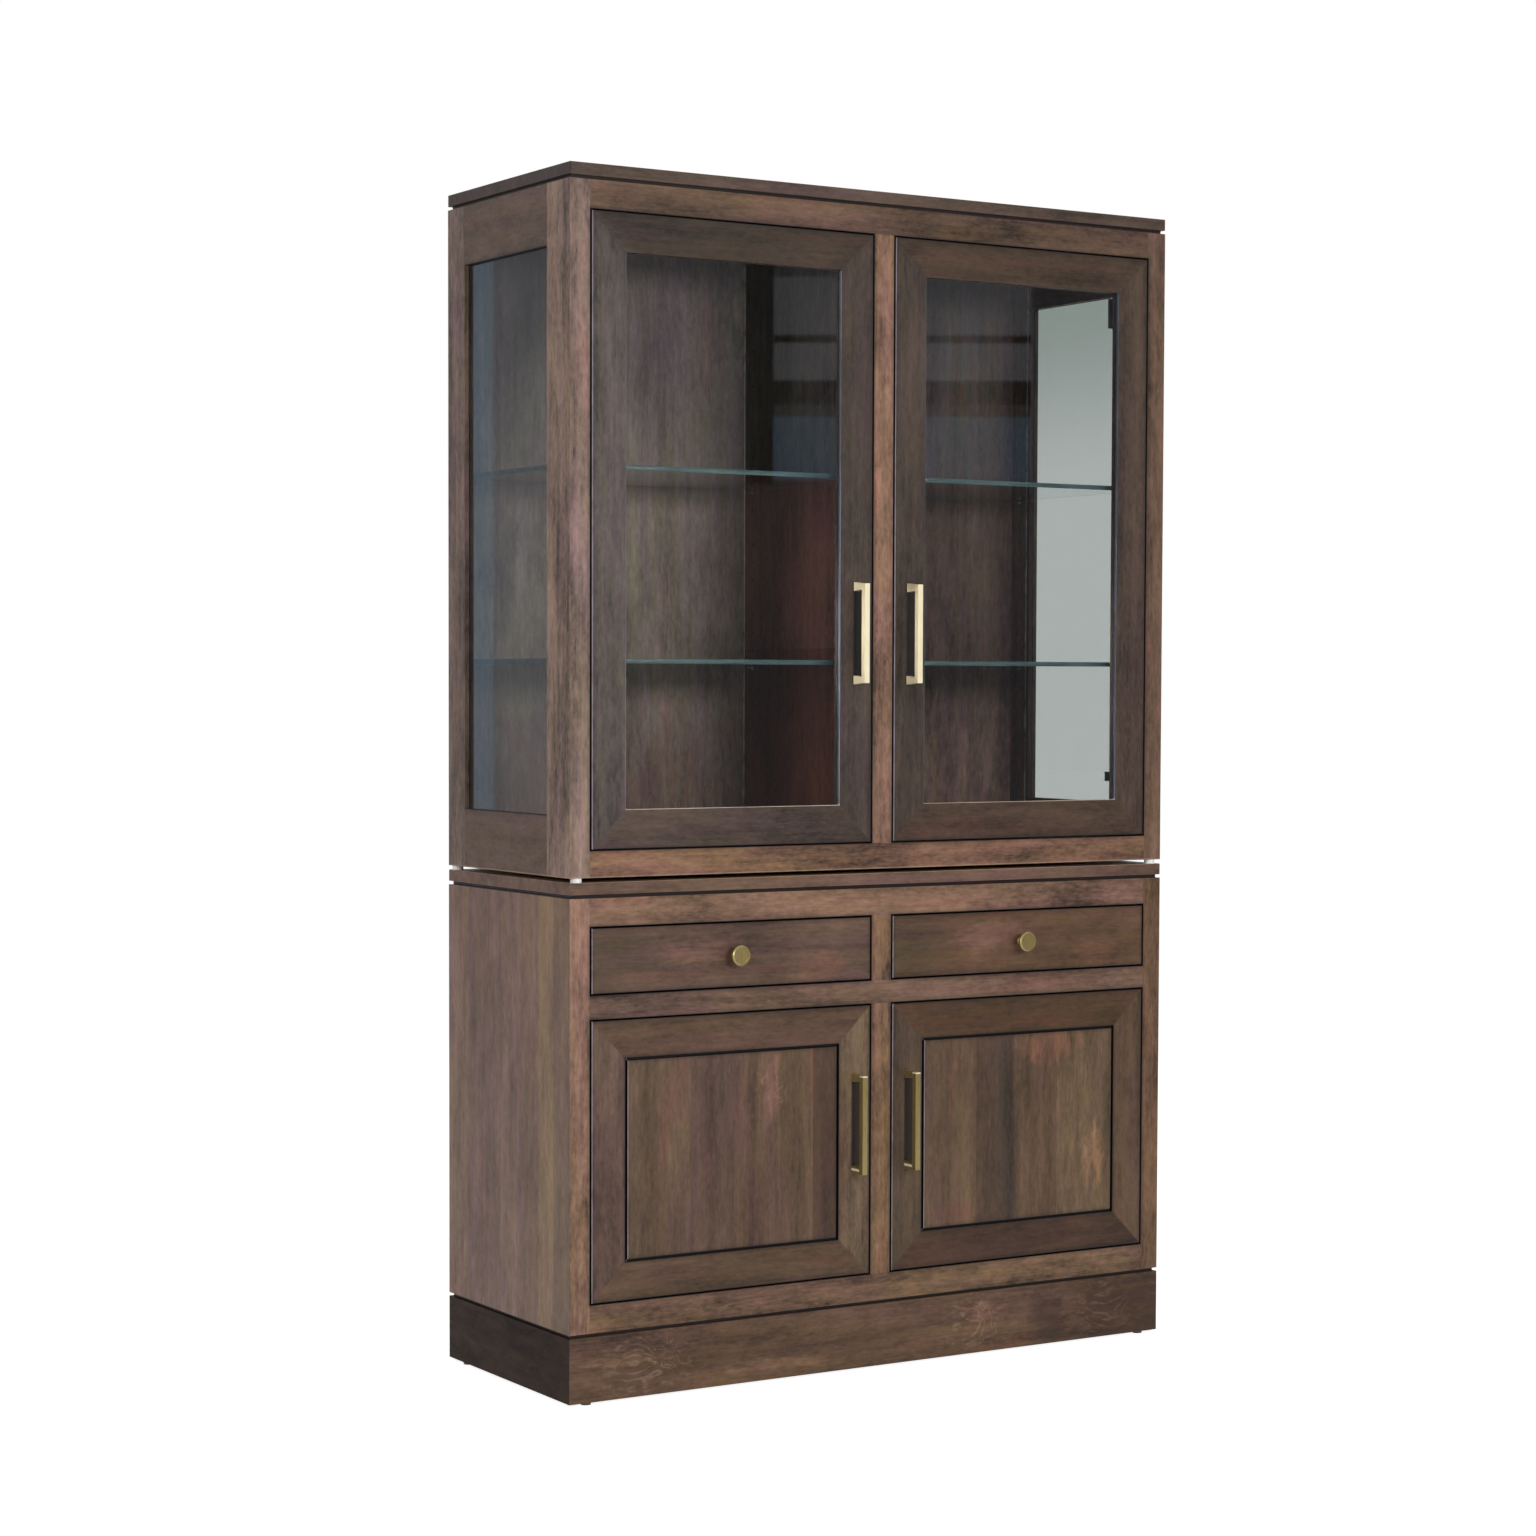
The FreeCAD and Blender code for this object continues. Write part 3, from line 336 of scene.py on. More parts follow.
class Maple(Finish):
    """The figure of maple, and what lies over it."""

    def __init__(self, name, tone, grain, seed):
        super().__init__(name)
        self.tone, self.grain, self.mitred = tone, grain, isinstance(tone, Mitred)
        self.shifted = self.stretched(self.place, (1.0, 1.0, 1.0), (seed, seed * 1.7, seed * 0.6))
        if self.mitred:
            tone.sort(self)
            self.rails = self.stretched(self.place, (1.0, 1.0, 1.0), (seed + 3.1, seed, 2.0))
        places = {pull: self.drawn_out(pull) for pull in (CLOUDY, STREAKY)}
        self.layers = {layer: self.noise(places[pull], *shape)
                       for layer, (pull, *shape, _) in FIGURE.items()}

    def drawn_out(self, pull):
        """The point in a pattern that's longer along the grain of its member."""
        if self.mitred:
            return self.either(self.tone.rail, self.stretched(self.shifted, along("Z", pull)),
                               self.stretched(self.rails, along("X", pull)))
        return self.stretched(self.shifted, along(self.grain, pull))

    def nearness(self, centre, reach, share):
        """From 0 at a spot's ragged rim up to share in its middle; a reach of 0 sets no bound."""
        far = self.levels(self.layers["flames"], 0.3, 0.7, RAGGED, -RAGGED)
        for axis, spot, size in zip("XYZ", centre, reach):
            if size:
                off = self.maths("DIVIDE", self.maths("SUBTRACT", self.axis(axis), spot), size)
                far = self.maths("ADD", far, self.maths("MULTIPLY", off, off))
        return self.levels(far, 1.3, -0.1, 0.0, share, smooth=True)

    def stained(self, strength, patches):
        """The stain's own colours, lighter and darker with the figure."""
        weighed = ((self.layers[layer], row[-1]) for layer, row in FIGURE.items())
        light = self.levels(self.total(*weighed), FIGURE_MIDDLE - FIGURE_SPREAD,
                            FIGURE_MIDDLE + FIGURE_SPREAD, 1.0 - DARKEN * strength,
                            1.0 + LIGHTEN * strength)
        light = self.maths("MAXIMUM", light, DARKEST)
        drift = self.noise(self.drawn_out(DRIFTING), 23.0, 3.0, 0.55, 0.2)
        tint = self.ramp(drift, DRIFT, "LINEAR")
        ground = self.tone if isinstance(self.tone, tuple) else self.tone.colour(self)
        # Patch colours are stains, and on some pieces painted light and shade.
        for centre, reach, stain, share in patches:
            ground = self.blend(self.nearness(centre, reach, share), ground, stain)
        tinted = self.blend(1.0, ground, tint, "MULTIPLY")
        return self.blend(1.0, tinted, self.grey(light), "MULTIPLY")

    def curls(self):
        """Fine rings that wind round knots, broken up by the flecks."""
        place = self.stretched(self.shifted, along(self.grain, CURLY))
        swirl = self.maths("MULTIPLY", self.noise(place, 13.0, 2.0, 0.5, 0.6), CURL_RINGS)
        rings = self.levels(self.maths("SINE", swirl), 0.35, 1.0)
        return self.maths("MULTIPLY", rings, self.levels(self.layers["flecks"], 0.4, 0.6, 0.3, 1.0))

    def glazed(self, colour, rectangle, side):
        """A dark line along an outline, fading away from it: glazing, whose darkest part paints the
        shade on the side faces of a gap or groove.
        """
        away = self.maths("MULTIPLY", self.beyond(rectangle), side)
        fade = self.levels(away, 0.0, GLAZE_FADE, 0.35, 0.0, smooth=True)
        colour = self.blend(fade, colour, GLAZE_AND_SHADE)
        return self.blend(self.levels(away, *GLAZE_LINE, 1.0, 0.0), colour, GLAZE_AND_SHADE)

    def rubbed_through(self, colour, axis, start, end, stain):
        """A painted highlight: a pale line in the colour given as stain, uneven along its length.
        """
        reach = abs(end - start) / 2
        highlight_band = self.levels(self.away(axis, (start + end) / 2), reach * 0.6, reach, 0.75, 0.0)
        uneven = self.levels(self.layers["flames"], 0.35, 0.6, 0.5, 1.0)
        return self.blend(self.maths("MULTIPLY", highlight_band, uneven), colour, stain)


def stained_maple(name, tone, grain="Z", seed=0.0, strength=1.0, glaze=(), rubbed=(), patches=(),
                  under=(), burls=(), rough=0.46, shine=0.22, relief=0.12):
    """Maple under a brown wiping stain: soft bands and streaks along the grain, clouds and flecks.

    tone is a colour, Boards, Faced or Mitred, and strength how much the figure stands out.
    glaze lists (outline, side): a dark line clings to its inside (-1) or its outside (1), glazing
    that at its darkest paints the shade on the side faces of a gap or groove.
    rubbed lists (axis, from, to, colour) pale lines painted along edges as highlights.
    patches lists (centre, reach, colour, share) spots that took the stain differently; on the
    hutch's back, side stiles and top they are painted light and shade.
    under lists (box, share) places behind a pull where its shadow is painted on in the dark glazing
    colour.
    burls lists (centre, reach, colour, share) spots where pale curls wind through the grain.
    """
    maple = Maple(name, tone, grain, seed)
    colour = maple.stained(strength, patches)
    for centre, reach, stain, share in burls:
        pale = maple.maths("MULTIPLY", maple.curls(), maple.nearness(centre, reach, share))
        colour = maple.blend(pale, colour, stain)
    if maple.mitred:
        seam = maple.levels(tone.seam, *MITRE_LINE, tone.joint, 0.0)
        colour = maple.blend(seam, colour, GLAZE_AND_SHADE)
    for outline, side in glaze:
        colour = maple.glazed(colour, outline, side)
    # The painted shadow of a pull on the door's face, in the dark glazing colour.
    for box, share in under:
        pull_shadow = maple.levels(maple.beyond(box), -3.0 * MM, 0.5 * MM, share, 0.0)
        colour = maple.blend(pull_shadow, colour, GLAZE_AND_SHADE)
    for line in rubbed:
        colour = maple.rubbed_through(colour, *line)
    maple.bump(maple.total((maple.layers["lines"], 1.0), (maple.layers["flecks"], 0.5)),
               relief, 0.4 * MM)
    sheen = maple.levels(maple.layers["flames"], 0.3, 0.7, rough + 0.06, rough - 0.06)
    return maple.finish(Base_Color=colour, Roughness=sheen, Specular_IOR_Level=shine)


# ------------------------ metals, glass and plastics
# The pale colour of highlights painted on the brass.
GLINT_COLOUR = srgb(250, 244, 208)


def satin_brass(name, dark, pale, bare, rough, painted_glints=()):
    """Brushed brass under a thin lacquer; bare is how far the metal shows through it.

    painted_glints lists the (axis, middle, reach) boxes in which a highlight is painted on, pale
    and less metallic.
    """
    finish = Finish(name)
    brushed = finish.noise(finish.stretched(finish.place, (900.0, 900.0, 25.0)), 1.0, 2.0)
    colour = finish.blend(finish.noise(finish.place, 40.0, 3.0), dark, pale)
    metal = bare
    for box in painted_glints:
        bright = finish.levels(finish.beyond(box), -0.5 * MM, 0.5 * MM, 1.0, 0.0)
        colour = finish.blend(bright, colour, GLINT_COLOUR)
        metal = finish.maths("MULTIPLY", metal, finish.levels(bright, 0.0, 1.0, 1.0, 0.3))
    finish.bump(brushed, 0.015, 0.2 * MM)
    return finish.finish(Base_Color=colour, Metallic=metal, Coat_Weight=0.25, Coat_Roughness=0.2,
                         Roughness=finish.levels(brushed, 0.3, 0.7, rough - 0.04, rough + 0.04))


def nickelled_steel(name):
    finish = Finish(name)
    brushed = finish.noise(finish.stretched(finish.place, (600.0, 60.0, 600.0)), 1.0, 2.0)
    return finish.finish(Base_Color=srgb(150, 150, 152), Metallic=1.0,
                         Roughness=finish.levels(brushed, 0.3, 0.7, 0.28, 0.4))


def clear_glass(name, colour, passed):
    """Clear float glass; lamps and the room's bounced light pass straight through, tinted."""
    finish = Finish(name)
    path = finish.add("ShaderNodeLightPath").outputs
    passing = finish.maths("MAXIMUM", path["Is Shadow Ray"], path["Is Diffuse Ray"])
    finish.show(passing, finish.surface.outputs["BSDF"],
                finish.shader("ShaderNodeBsdfTransparent", Color=passed))
    tint = colour(finish) if callable(colour) else colour
    return finish.finish(Base_Color=tint, Roughness=0.0, Transmission_Weight=1.0, IOR=1.5)


def deepening(tint, level, deep):
    """A tint that deepens to another over the 35 cm above a level, painting shade into the glass.
    """
    def colour(finish):
        risen = finish.levels(finish.axis("Z"), level, level + 0.35, smooth=True)
        return finish.blend(risen, tint, deep)
    return colour


def ground_edge(name, dark, pale):
    """The matt sea green of a ground glass edge."""
    finish = Finish(name)
    waves = finish.noise(finish.stretched(finish.place, (9.0, 60.0, 60.0)), 1.0, 3.0)
    colour = finish.blend(finish.levels(waves, 0.35, 0.65), dark, pale)
    return finish.finish(Base_Color=colour, Roughness=0.35)


def moulded_plastic(name, colour, shade):
    finish = Finish(name)
    finish.bump(finish.noise(finish.place, 900.0, 2.0), 0.1, 0.1 * MM)
    mottle = finish.levels(finish.noise(finish.place, 60.0, 2.0), 0.3, 0.7)
    return finish.finish(Base_Color=finish.blend(mottle, colour, shade), Roughness=0.5)


# ------------------------ doors and drawers
DOOR_MEMBER = 63.5 * MM
DOOR_GAP = 2.5 * MM
PANEL_GROOVE = 4.0 * MM
PULL_BAR = 10.0 * MM
SKIN = 4.0 * MM
# Cool pale colour of the highlights painted along the fronts' left edges.
LILAC_HIGHLIGHT = srgb(150, 141, 152)

# Left and right stile, bottom and top rail.
DOOR_TONES = {
    "upper_left": (srgb(75, 68, 67), srgb(60, 51, 47), srgb(68, 56, 51), srgb(54, 44, 37)),
    "upper_right": (srgb(59, 50, 45), srgb(66, 54, 47), srgb(67, 52, 44), srgb(61, 48, 39)),
    "lower_left": (srgb(93, 75, 66), srgb(106, 89, 74), srgb(81, 64, 51), srgb(82, 64, 52)),
    "lower_right": (srgb(74, 61, 50), srgb(83, 66, 53), srgb(66, 48, 38), srgb(71, 53, 39)),
}
MITRES = {"upper": (30.0 * MM, 0.08), "lower": (4.0 * MM, 0.16)}
# Painted shadow behind the pulls: its share, how far right of the bar it lies, and half its width.
PULL_SHADOW_SHARES ={"upper_left": 1.0, "upper_right": 0.8, "lower_left": 0.9, "lower_right": 0.85}
PULL_SHADOW_SHIFT = 4.0 * MM
PULL_SHADOW_REACH = 10.5 * MM
# How far in from a front's left edge its painted highlight starts.
HIGHLIGHT_START = 0.3 * MM
OUTLINES = {name: Rectangle(f"{name}_frame") for name in DOOR_TONES}


def paint(names, material):
    for name in names:
        slots = NODES[name].data.materials
        slots.clear()
        slots.append(material)


def left_edge_highlight(outline, width):
    """A highlight painted along a front's left edge."""
    return [("X", outline.left + HIGHLIGHT_START, outline.left + width, LILAC_HIGHLIGHT)]


def pull_shadow_box(name):
    """The box of a door's face behind its pull, where the pull's shadow is painted."""
    low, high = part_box(f"{name}_pull")
    return [("X", (low.x + high.x) / 2 + PULL_SHADOW_SHIFT, PULL_SHADOW_REACH),
            ("Y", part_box(f"{name}_frame")[0].y, SKIN),
            ("Z", (low.z + high.z) / 2, (high.z - low.z) / 2 - PULL_BAR)]


def paint_door_frames():
    for number, (name, tones) in enumerate(DOOR_TONES.items()):
        outline, row = OUTLINES[name], name.split("_")[0]
        # The outer line paints the shade in the gap round the door; on a lower door the inner line
        # paints the shade in the panel's groove.
        glaze = [(outline.grown(0.0), -1.0)]
        if row == "lower":
            glaze.append((outline.grown(-DOOR_MEMBER), 1.0))
        paint([f"{name}_frame"], stained_maple(
            f"{name}_door_frame", Mitred(outline, tones, *MITRES[row]), seed=7.7 + 2.3 * number,
            strength=1.3 if row == "upper" else 1.1, glaze=glaze,
            # Beside the pull a painted shadow; along the left edge a painted highlight.
            under=[(pull_shadow_box(name), PULL_SHADOW_SHARES[name])], rubbed=left_edge_highlight(outline, 2.9 * MM)))


# Where each board starts, as a share of the panel's width.
PANEL_BOARDS = {
    "lower_left": [(0.0, srgb(91, 74, 62)), (0.29, srgb(86, 68, 62)), (0.50, srgb(89, 70, 59)),
                   (0.60, srgb(92, 73, 62)), (0.72, srgb(88, 71, 57)), (0.88, srgb(70, 54, 46))],
    "lower_right": [(0.0, srgb(88, 71, 58)), (0.27, srgb(78, 62, 52)), (0.36, srgb(76, 61, 52)),
                    (0.47, srgb(91, 72, 59)), (0.70, srgb(100, 82, 66)), (0.86, srgb(97, 80, 64))],
}
# Spots on the panels: shares of the width and height, then reach, colour and share.
PANEL_PATCHES = {
    "lower_left": [((0.68, 0.82), (0.022, 0.0, 0.055), srgb(116, 85, 73), 0.55),
                   ((0.66, 0.20), (0.045, 0.0, 0.09), srgb(84, 64, 56), 0.6),
                   ((0.94, 0.22), (0.02, 0.0, 0.16), srgb(68, 50, 45), 0.7),
                   ((0.16, 0.12), (0.02, 0.0, 0.12), srgb(84, 68, 52), 0.6)],
    "lower_right": [((0.42, 0.72), (0.014, 0.0, 0.12), srgb(62, 54, 49), 0.85),
                    ((0.45, 0.22), (0.017, 0.0, 0.13), srgb(64, 55, 50), 0.85),
                    ((0.66, 0.93), (0.07, 0.0, 0.035), srgb(122, 84, 70), 0.6),
                    ((0.90, 0.30), (0.03, 0.0, 0.06), srgb(142, 108, 84), 0.6),
                    ((0.17, 0.07), (0.05, 0.0, 0.022), srgb(96, 66, 58), 0.6)],
}
PANEL_BURLS = {
    "lower_left": [((0.67, 0.80), (0.035, 0.0, 0.05), srgb(150, 120, 104), 0.35)],
    "lower_right": [((0.88, 0.35), (0.035, 0.0, 0.05), srgb(150, 120, 104), 0.35)],
}


def paint_panels():
    for number, (name, boards) in enumerate(PANEL_BOARDS.items()):
        outline = OUTLINES[name]
        field = outline.grown(-DOOR_MEMBER - PANEL_GROOVE)
        (_, middle_x, half_x), (_, middle_z, half_z) = field
        left = middle_x - half_x

        def placed(spots):
            return [((middle_x + (2 * across - 1) * half_x, 0.0, middle_z + (2 * up - 1) * half_z),
                     *spot) for (across, up), *spot in spots]

        starts = [(left + share * 2 * half_x, tone) for share, tone in boards]
        # The dark line round the field paints the shade in the panel's groove.
        paint([f"{name}_panel"], stained_maple(
            f"{name}_panel_boards", Boards("X", starts, middle_x + half_x),
            seed=12.9 + 3.7 * number, glaze=[(field, -1.0)],
            # The pale line on the field's left edge is a painted highlight.
            rubbed=[("X", left + HIGHLIGHT_START, left + 2.4 * MM, LILAC_HIGHLIGHT)],
            patches=placed(PANEL_PATCHES[name]), burls=placed(PANEL_BURLS[name])))


DRAWER_TONES = {"left_drawer": srgb(87, 69, 60), "right_drawer": srgb(84, 64, 49)}


def paint_drawer_fronts():
    for number, (name, tone) in enumerate(DRAWER_TONES.items()):
        outline = Rectangle(f"{name}_front")
        level = outline.centre[1]
        patches = [
            ((outline.left, 0.0, level), (0.14, 0.0, 0.06), srgb(70, 59, 48), 0.8),
            ((outline.left + 0.22, 0.0, level + 0.01), (0.09, 0.0, 0.03), srgb(108, 82, 70), 0.6),
            ((outline.right - 0.10, 0.0, level - 0.03), (0.05, 0.0, 0.03), srgb(104, 72, 60), 0.5)]
        paint([f"{name}_front"], stained_maple(
            f"{name}_front_board", tone, grain="X", seed=5.9 + 3.1 * number, patches=patches,
            # The dark line round the front paints the shade in its gap, and the pale line on its
            # left edge is a painted highlight.
            glaze=[(outline.grown(0.0), -1.0)], rubbed=left_edge_highlight(outline, 2.6 * MM)))


paint_door_frames()
paint_panels()
paint_drawer_fronts()

# ------------------------ face frames
EDGE = 609.5 * MM
MULLION = EDGE / 2
# A pale line painted along the hutch's foot as a highlight.
FOOT_EDGE_HIGHLIGHT = [("Z", 870.6 * MM, 873.0 * MM, srgb(156, 130, 108))]
OPENINGS = {"base": ("lower_right_frame", "right_drawer_front"), "hutch": ("upper_right_frame",)}


def face_frame(part, tone, grain, seed):
    """The frame round the doors, its openings lined with dark glazing that paints the shade on
    their side faces; left mirrors right.
    """
    lines = []
    for name in OPENINGS[part]:
        outline = Rectangle(name)
        (middle_x, middle_z), (half_x, half_z) = outline.centre, outline.half
        lines.append((outline.grown(DOOR_GAP), 1.0))
        lines.append(([("X", -middle_x, half_x + DOOR_GAP),
                       ("Z", middle_z, half_z + DOOR_GAP)], 1.0))
    # On the hutch the pale line along its foot is a painted highlight.
    return stained_maple(f"{part}_frame_{grain.lower()}", tone, grain, seed, strength=1.6,
                         glaze=lines, rubbed=FOOT_EDGE_HIGHLIGHT if part == "hutch" else ())


paint(["hutch_frame_uprights"], face_frame("hutch", Boards("X", [
    (-EDGE, srgb(112, 95, 89)), (-MULLION, srgb(121, 94, 80)), (MULLION, srgb(88, 69, 59))],
    EDGE), "Z", 1.3))
paint(["base_frame_uprights"], face_frame("base", Boards("X", [
    (-EDGE, srgb(121, 96, 81)), (-MULLION, srgb(111, 87, 68)), (MULLION, srgb(94, 72, 57))],
    EDGE), "Z", 2.7))
paint(["hutch_frame_rails"], face_frame("hutch", Boards("Z", [
    (0.870, srgb(109, 83, 67)), (1.4, srgb(80, 63, 52))], 2.01), "X", 4.1))
paint(["base_frame_rails"], face_frame("base", Boards("Z", [
    (0.118, srgb(101, 80, 64)), (0.4, srgb(94, 74, 65)), (0.75, srgb(110, 86, 73))],
    0.84), "X", 5.3))

# ------------------------ cases, plinth and tops
SIDE_REAR = 243.0 * MM
SIDE_OPENING = [("Y", 25.5 * MM, 153.0 * MM), ("Z", 1438.25 * MM, 466.75 * MM)]
INNER_FACE, REAR_FACE = (corner.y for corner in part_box("hutch_back"))


def in_maple(names, title, tone, grain="Z", **looks):
    paint(names, stained_maple(title, tone, grain, **looks))


in_maple(["base_side_left", "base_side_right"], "base_side_boards", Boards("Y", [
    (-0.208, srgb(104, 86, 72)), (-0.150, srgb(118, 98, 79)), (-0.100, srgb(110, 88, 77)),
    (-0.03, srgb(114, 92, 84)), (0.04, srgb(107, 86, 79)), (0.165, srgb(114, 93, 82))],
    SIDE_REAR), seed=3.3)
# The pale line along the stile's foot and the pale line down the inner edge of the right rear stile
# are painted highlights.
in_maple(["hutch_side_stiles"], "hutch_side_upright", Boards("Y", [
    (-0.208, srgb(120, 102, 93)), (0.05, srgb(102, 87, 81))], SIDE_REAR),
    seed=8.2, strength=1.7, rubbed=FOOT_EDGE_HIGHLIGHT, patches=[
        ((0.5895, 0.188, 1.44), (0.003, 0.0030, 1.3), srgb(215, 212, 235), 0.9)])
in_maple(["hutch_side_beads"], "hutch_side_bead", srgb(76, 63, 57), seed=8.9)
# The dark line round the side pane's opening paints the shade at its edge; the pale line along the
# foot is a painted highlight.
in_maple(["hutch_side_rails"], "hutch_side_level", srgb(86, 70, 62), "Y", seed=6.1,
         glaze=[(SIDE_OPENING, 1.0)], rubbed=FOOT_EDGE_HIGHLIGHT)
in_maple(["upper_left_beads", "upper_right_beads"], "door_bead", srgb(76, 66, 60), seed=2.2)
# The pale band along its top edge and over its upper face is painted light: a highlight on the
# arris and in the gap under the hutch.
in_maple(["base_top"], "base_top_board", Boards("Z", [
    (0.843, srgb(96, 76, 66)), (0.8624, srgb(150, 124, 106))], 0.864), "X", seed=0.7)
# Darker at the left end: painted shade on the board's end.
in_maple(["hutch_top"], "hutch_top_board", srgb(80, 66, 60), "X", seed=1.1, patches=[
    ((-EDGE, 0.0, 0.0), (SKIN, 0.0, 0.0), srgb(52, 42, 40), 0.9)])
in_maple(["reveal_boards"], "shadow_strip", srgb(26, 19, 17), "X")
in_maple(["plinth_front"], "plinth_front_board", srgb(85, 66, 53), "X", seed=2.9, strength=1.3,
         patches=[
             ((-0.52, 0.0, 0.07), (0.07, 0.0, 0.016), srgb(116, 90, 76), 0.6),
             ((-0.22, 0.0, 0.03), (0.12, 0.0, 0.012), srgb(112, 86, 72), 0.55),
             ((0.22, 0.0, 0.075), (0.05, 0.0, 0.02), srgb(118, 90, 74), 0.6),
             ((0.36, 0.0, 0.05), (0.05, 0.0, 0.05), srgb(56, 43, 36), 0.7),
             ((0.57, 0.0, 0.06), (0.22, 0.0, 0.12), srgb(50, 35, 26), 0.95)],
         burls=[
             ((-0.46, 0.0, 0.055), (0.10, 0.0, 0.05), srgb(150, 122, 106), 0.5),
             ((0.20, 0.0, 0.055), (0.07, 0.0, 0.06), srgb(150, 124, 98), 0.5),
             ((0.47, 0.0, 0.06), (0.08, 0.0, 0.05), srgb(128, 104, 80), 0.45)])
# The sides are painted darker than the front, as shade.
in_maple(["plinth_sides"], "plinth_side_board", srgb(47, 35, 29), "Y", seed=3.8, shine=0.04)
in_maple(["plinth_back"], "plinth_back_board", srgb(62, 48, 40), "X", seed=4.8)
# The near-white line where the back meets the partition is a painted light line; the patches are
# painted reflection and shade, grey at the top and warm low down.
in_maple(["hutch_back"], "hutch_back_panel", Faced(Boards("X", [
    (-EDGE, srgb(168, 156, 149)), (-0.019, srgb(250, 240, 238)), (-0.012, srgb(124, 106, 101))],
    EDGE), REAR_FACE - 1.0 * MM, srgb(104, 88, 80)),
    seed=5.2, rough=0.7, shine=0.0, relief=0.03, patches=[
        ((-0.32, INNER_FACE, 1.98), (0.42, SKIN, 0.40), srgb(128, 118, 120), 0.95),
        ((-0.30, INNER_FACE, 0.93), (0.42, SKIN, 0.24), srgb(140, 116, 107), 0.9),
        ((0.32, INNER_FACE, 1.98), (0.34, SKIN, 0.42), srgb(94, 93, 92), 0.95),
        ((0.32, INNER_FACE, 0.93), (0.42, SKIN, 0.22), srgb(150, 124, 116), 0.8)])
in_maple(["base_back"], "base_back_panel", srgb(104, 88, 80), seed=5.8)
# Its tones by height are painted light and reflection: red low down, grey at the top.
in_maple(["hutch_partition"], "hutch_partition_board", Boards("Z", [
    (0.91, srgb(111, 69, 55)), (1.25, srgb(123, 85, 76)), (1.55, srgb(91, 89, 86))], 1.99),
    seed=6.6, rough=0.8, shine=0.0, relief=0.02)
in_maple(["base_partition", "packing_blocks"], "base_partition_board", srgb(112, 80, 66), seed=7.6)
# The ceiling is painted darker than the floor, as shade.
in_maple(["hutch_floor", "hutch_ceiling"], "hutch_inner_board", Boards("Z", [
    (0.87, srgb(84, 66, 60)), (1.4, srgb(58, 48, 47))], 2.0), "X",
    seed=1.9, rough=0.7, shine=0.0, relief=0.03)
in_maple(["base_floor", "base_shelves", "base_stretchers"], "base_inner_board",
         srgb(112, 92, 80), "X", seed=3.9)
in_maple(["left_drawer_box", "right_drawer_box"], "drawer_box_maple", srgb(176, 150, 118), "Y",
         strength=0.35)

# ------------------------ hardware, glass and feet
pull_low, pull_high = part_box("lower_left_pull")
# Where highlights are painted on the lower pulls: the bar's top end and the top of the lower post.
BAR_HEAD = [("Z", pull_high.z - 2.0 * MM, 2.5 * MM),
            ("Y", pull_low.y + PULL_BAR / 2, 5.5 * MM)]
LOWER_POST = [("Z", pull_low.z + 8.8 * MM, 2.0 * MM),
              ("Y", pull_low.y + 23.0 * MM, 12.5 * MM)]

# The upper pulls' paler brass is a lit copy of the lower pulls' brass: painted light.
paint(["upper_left_pull", "upper_right_pull"],
      satin_brass("satin_brass_painted_lit", srgb(216, 202, 162), srgb(230, 217, 182), 0.3, 0.36))
paint(["lower_left_pull", "lower_right_pull", "left_drawer_knob", "right_drawer_knob"],
      satin_brass("satin_brass", srgb(145, 127, 79), srgb(162, 144, 94), 0.65, 0.3,
                  painted_glints=[BAR_HEAD, LOWER_POST]))
paint(["shelf_pins", "hinge_arms", "slide_channels", "left_drawer_rails", "right_drawer_rails",
       *(f"{name}_hinge_cups" for name in OUTLINES)], nickelled_steel("nickelled_steel"))
paint(["upper_left_glass", "upper_right_glass"],
      clear_glass("door_glass", (0.84, 0.84, 0.84, 1.0), (0.84, 0.84, 0.84, 1.0)))
SIDE_TINT = (0.55, 0.605, 0.585, 1.0)
# The side pane darkens over its upper part: painted shade.
paint(["hutch_side_glass"], clear_glass(
    "side_glass", deepening(SIDE_TINT, 1.55, (0.33, 0.39, 0.36, 1.0)), SIDE_TINT))
paint(["glass_shelves"],
      clear_glass("shelf_glass", (0.82, 0.90, 0.88, 1.0), (0.34, 0.38, 0.37, 1.0)))
paint(["glides"], moulded_plastic("glide_plastic", srgb(60, 58, 56), srgb(70, 68, 66)))
paint(["hutch_pads"], moulded_plastic("pad_plastic", srgb(240, 240, 238), srgb(226, 226, 224)))

# ------------------------ eased edges
EASED = {
    0.4 * MM: ["base_frame_uprights", "base_frame_rails", "hutch_frame_uprights",
               "hutch_frame_rails", "hutch_side_stiles", "hutch_side_rails", "hutch_side_beads",
               "base_side_left", "base_side_right", "upper_left_beads", "upper_right_beads",
               "plinth_front", "plinth_sides"],
    1.0 * MM: [*(f"{name}_frame" for name in OUTLINES), "lower_left_panel", "lower_right_panel",
               "left_drawer_front", "right_drawer_front", "base_top", "hutch_top"],
    0.7 * MM: [*(f"{name}_pull" for name in OUTLINES), "left_drawer_knob", "right_drawer_knob"],
}
SHARP = math.radians(40)


def ease(name, width):
    """Rounds a piece's sharp edges a little, as sanding does."""
    weld = NODES[name].modifiers.new("Weld", "WELD")
    weld.merge_threshold = 0.000001
    bevel = NODES[name].modifiers.new("EasedEdge", "BEVEL")
    bevel.width = width
    bevel.segments = 2
    bevel.limit_method = "ANGLE"
    bevel.angle_limit = SHARP


for width, names in EASED.items():
    for name in names:
        ease(name, width)


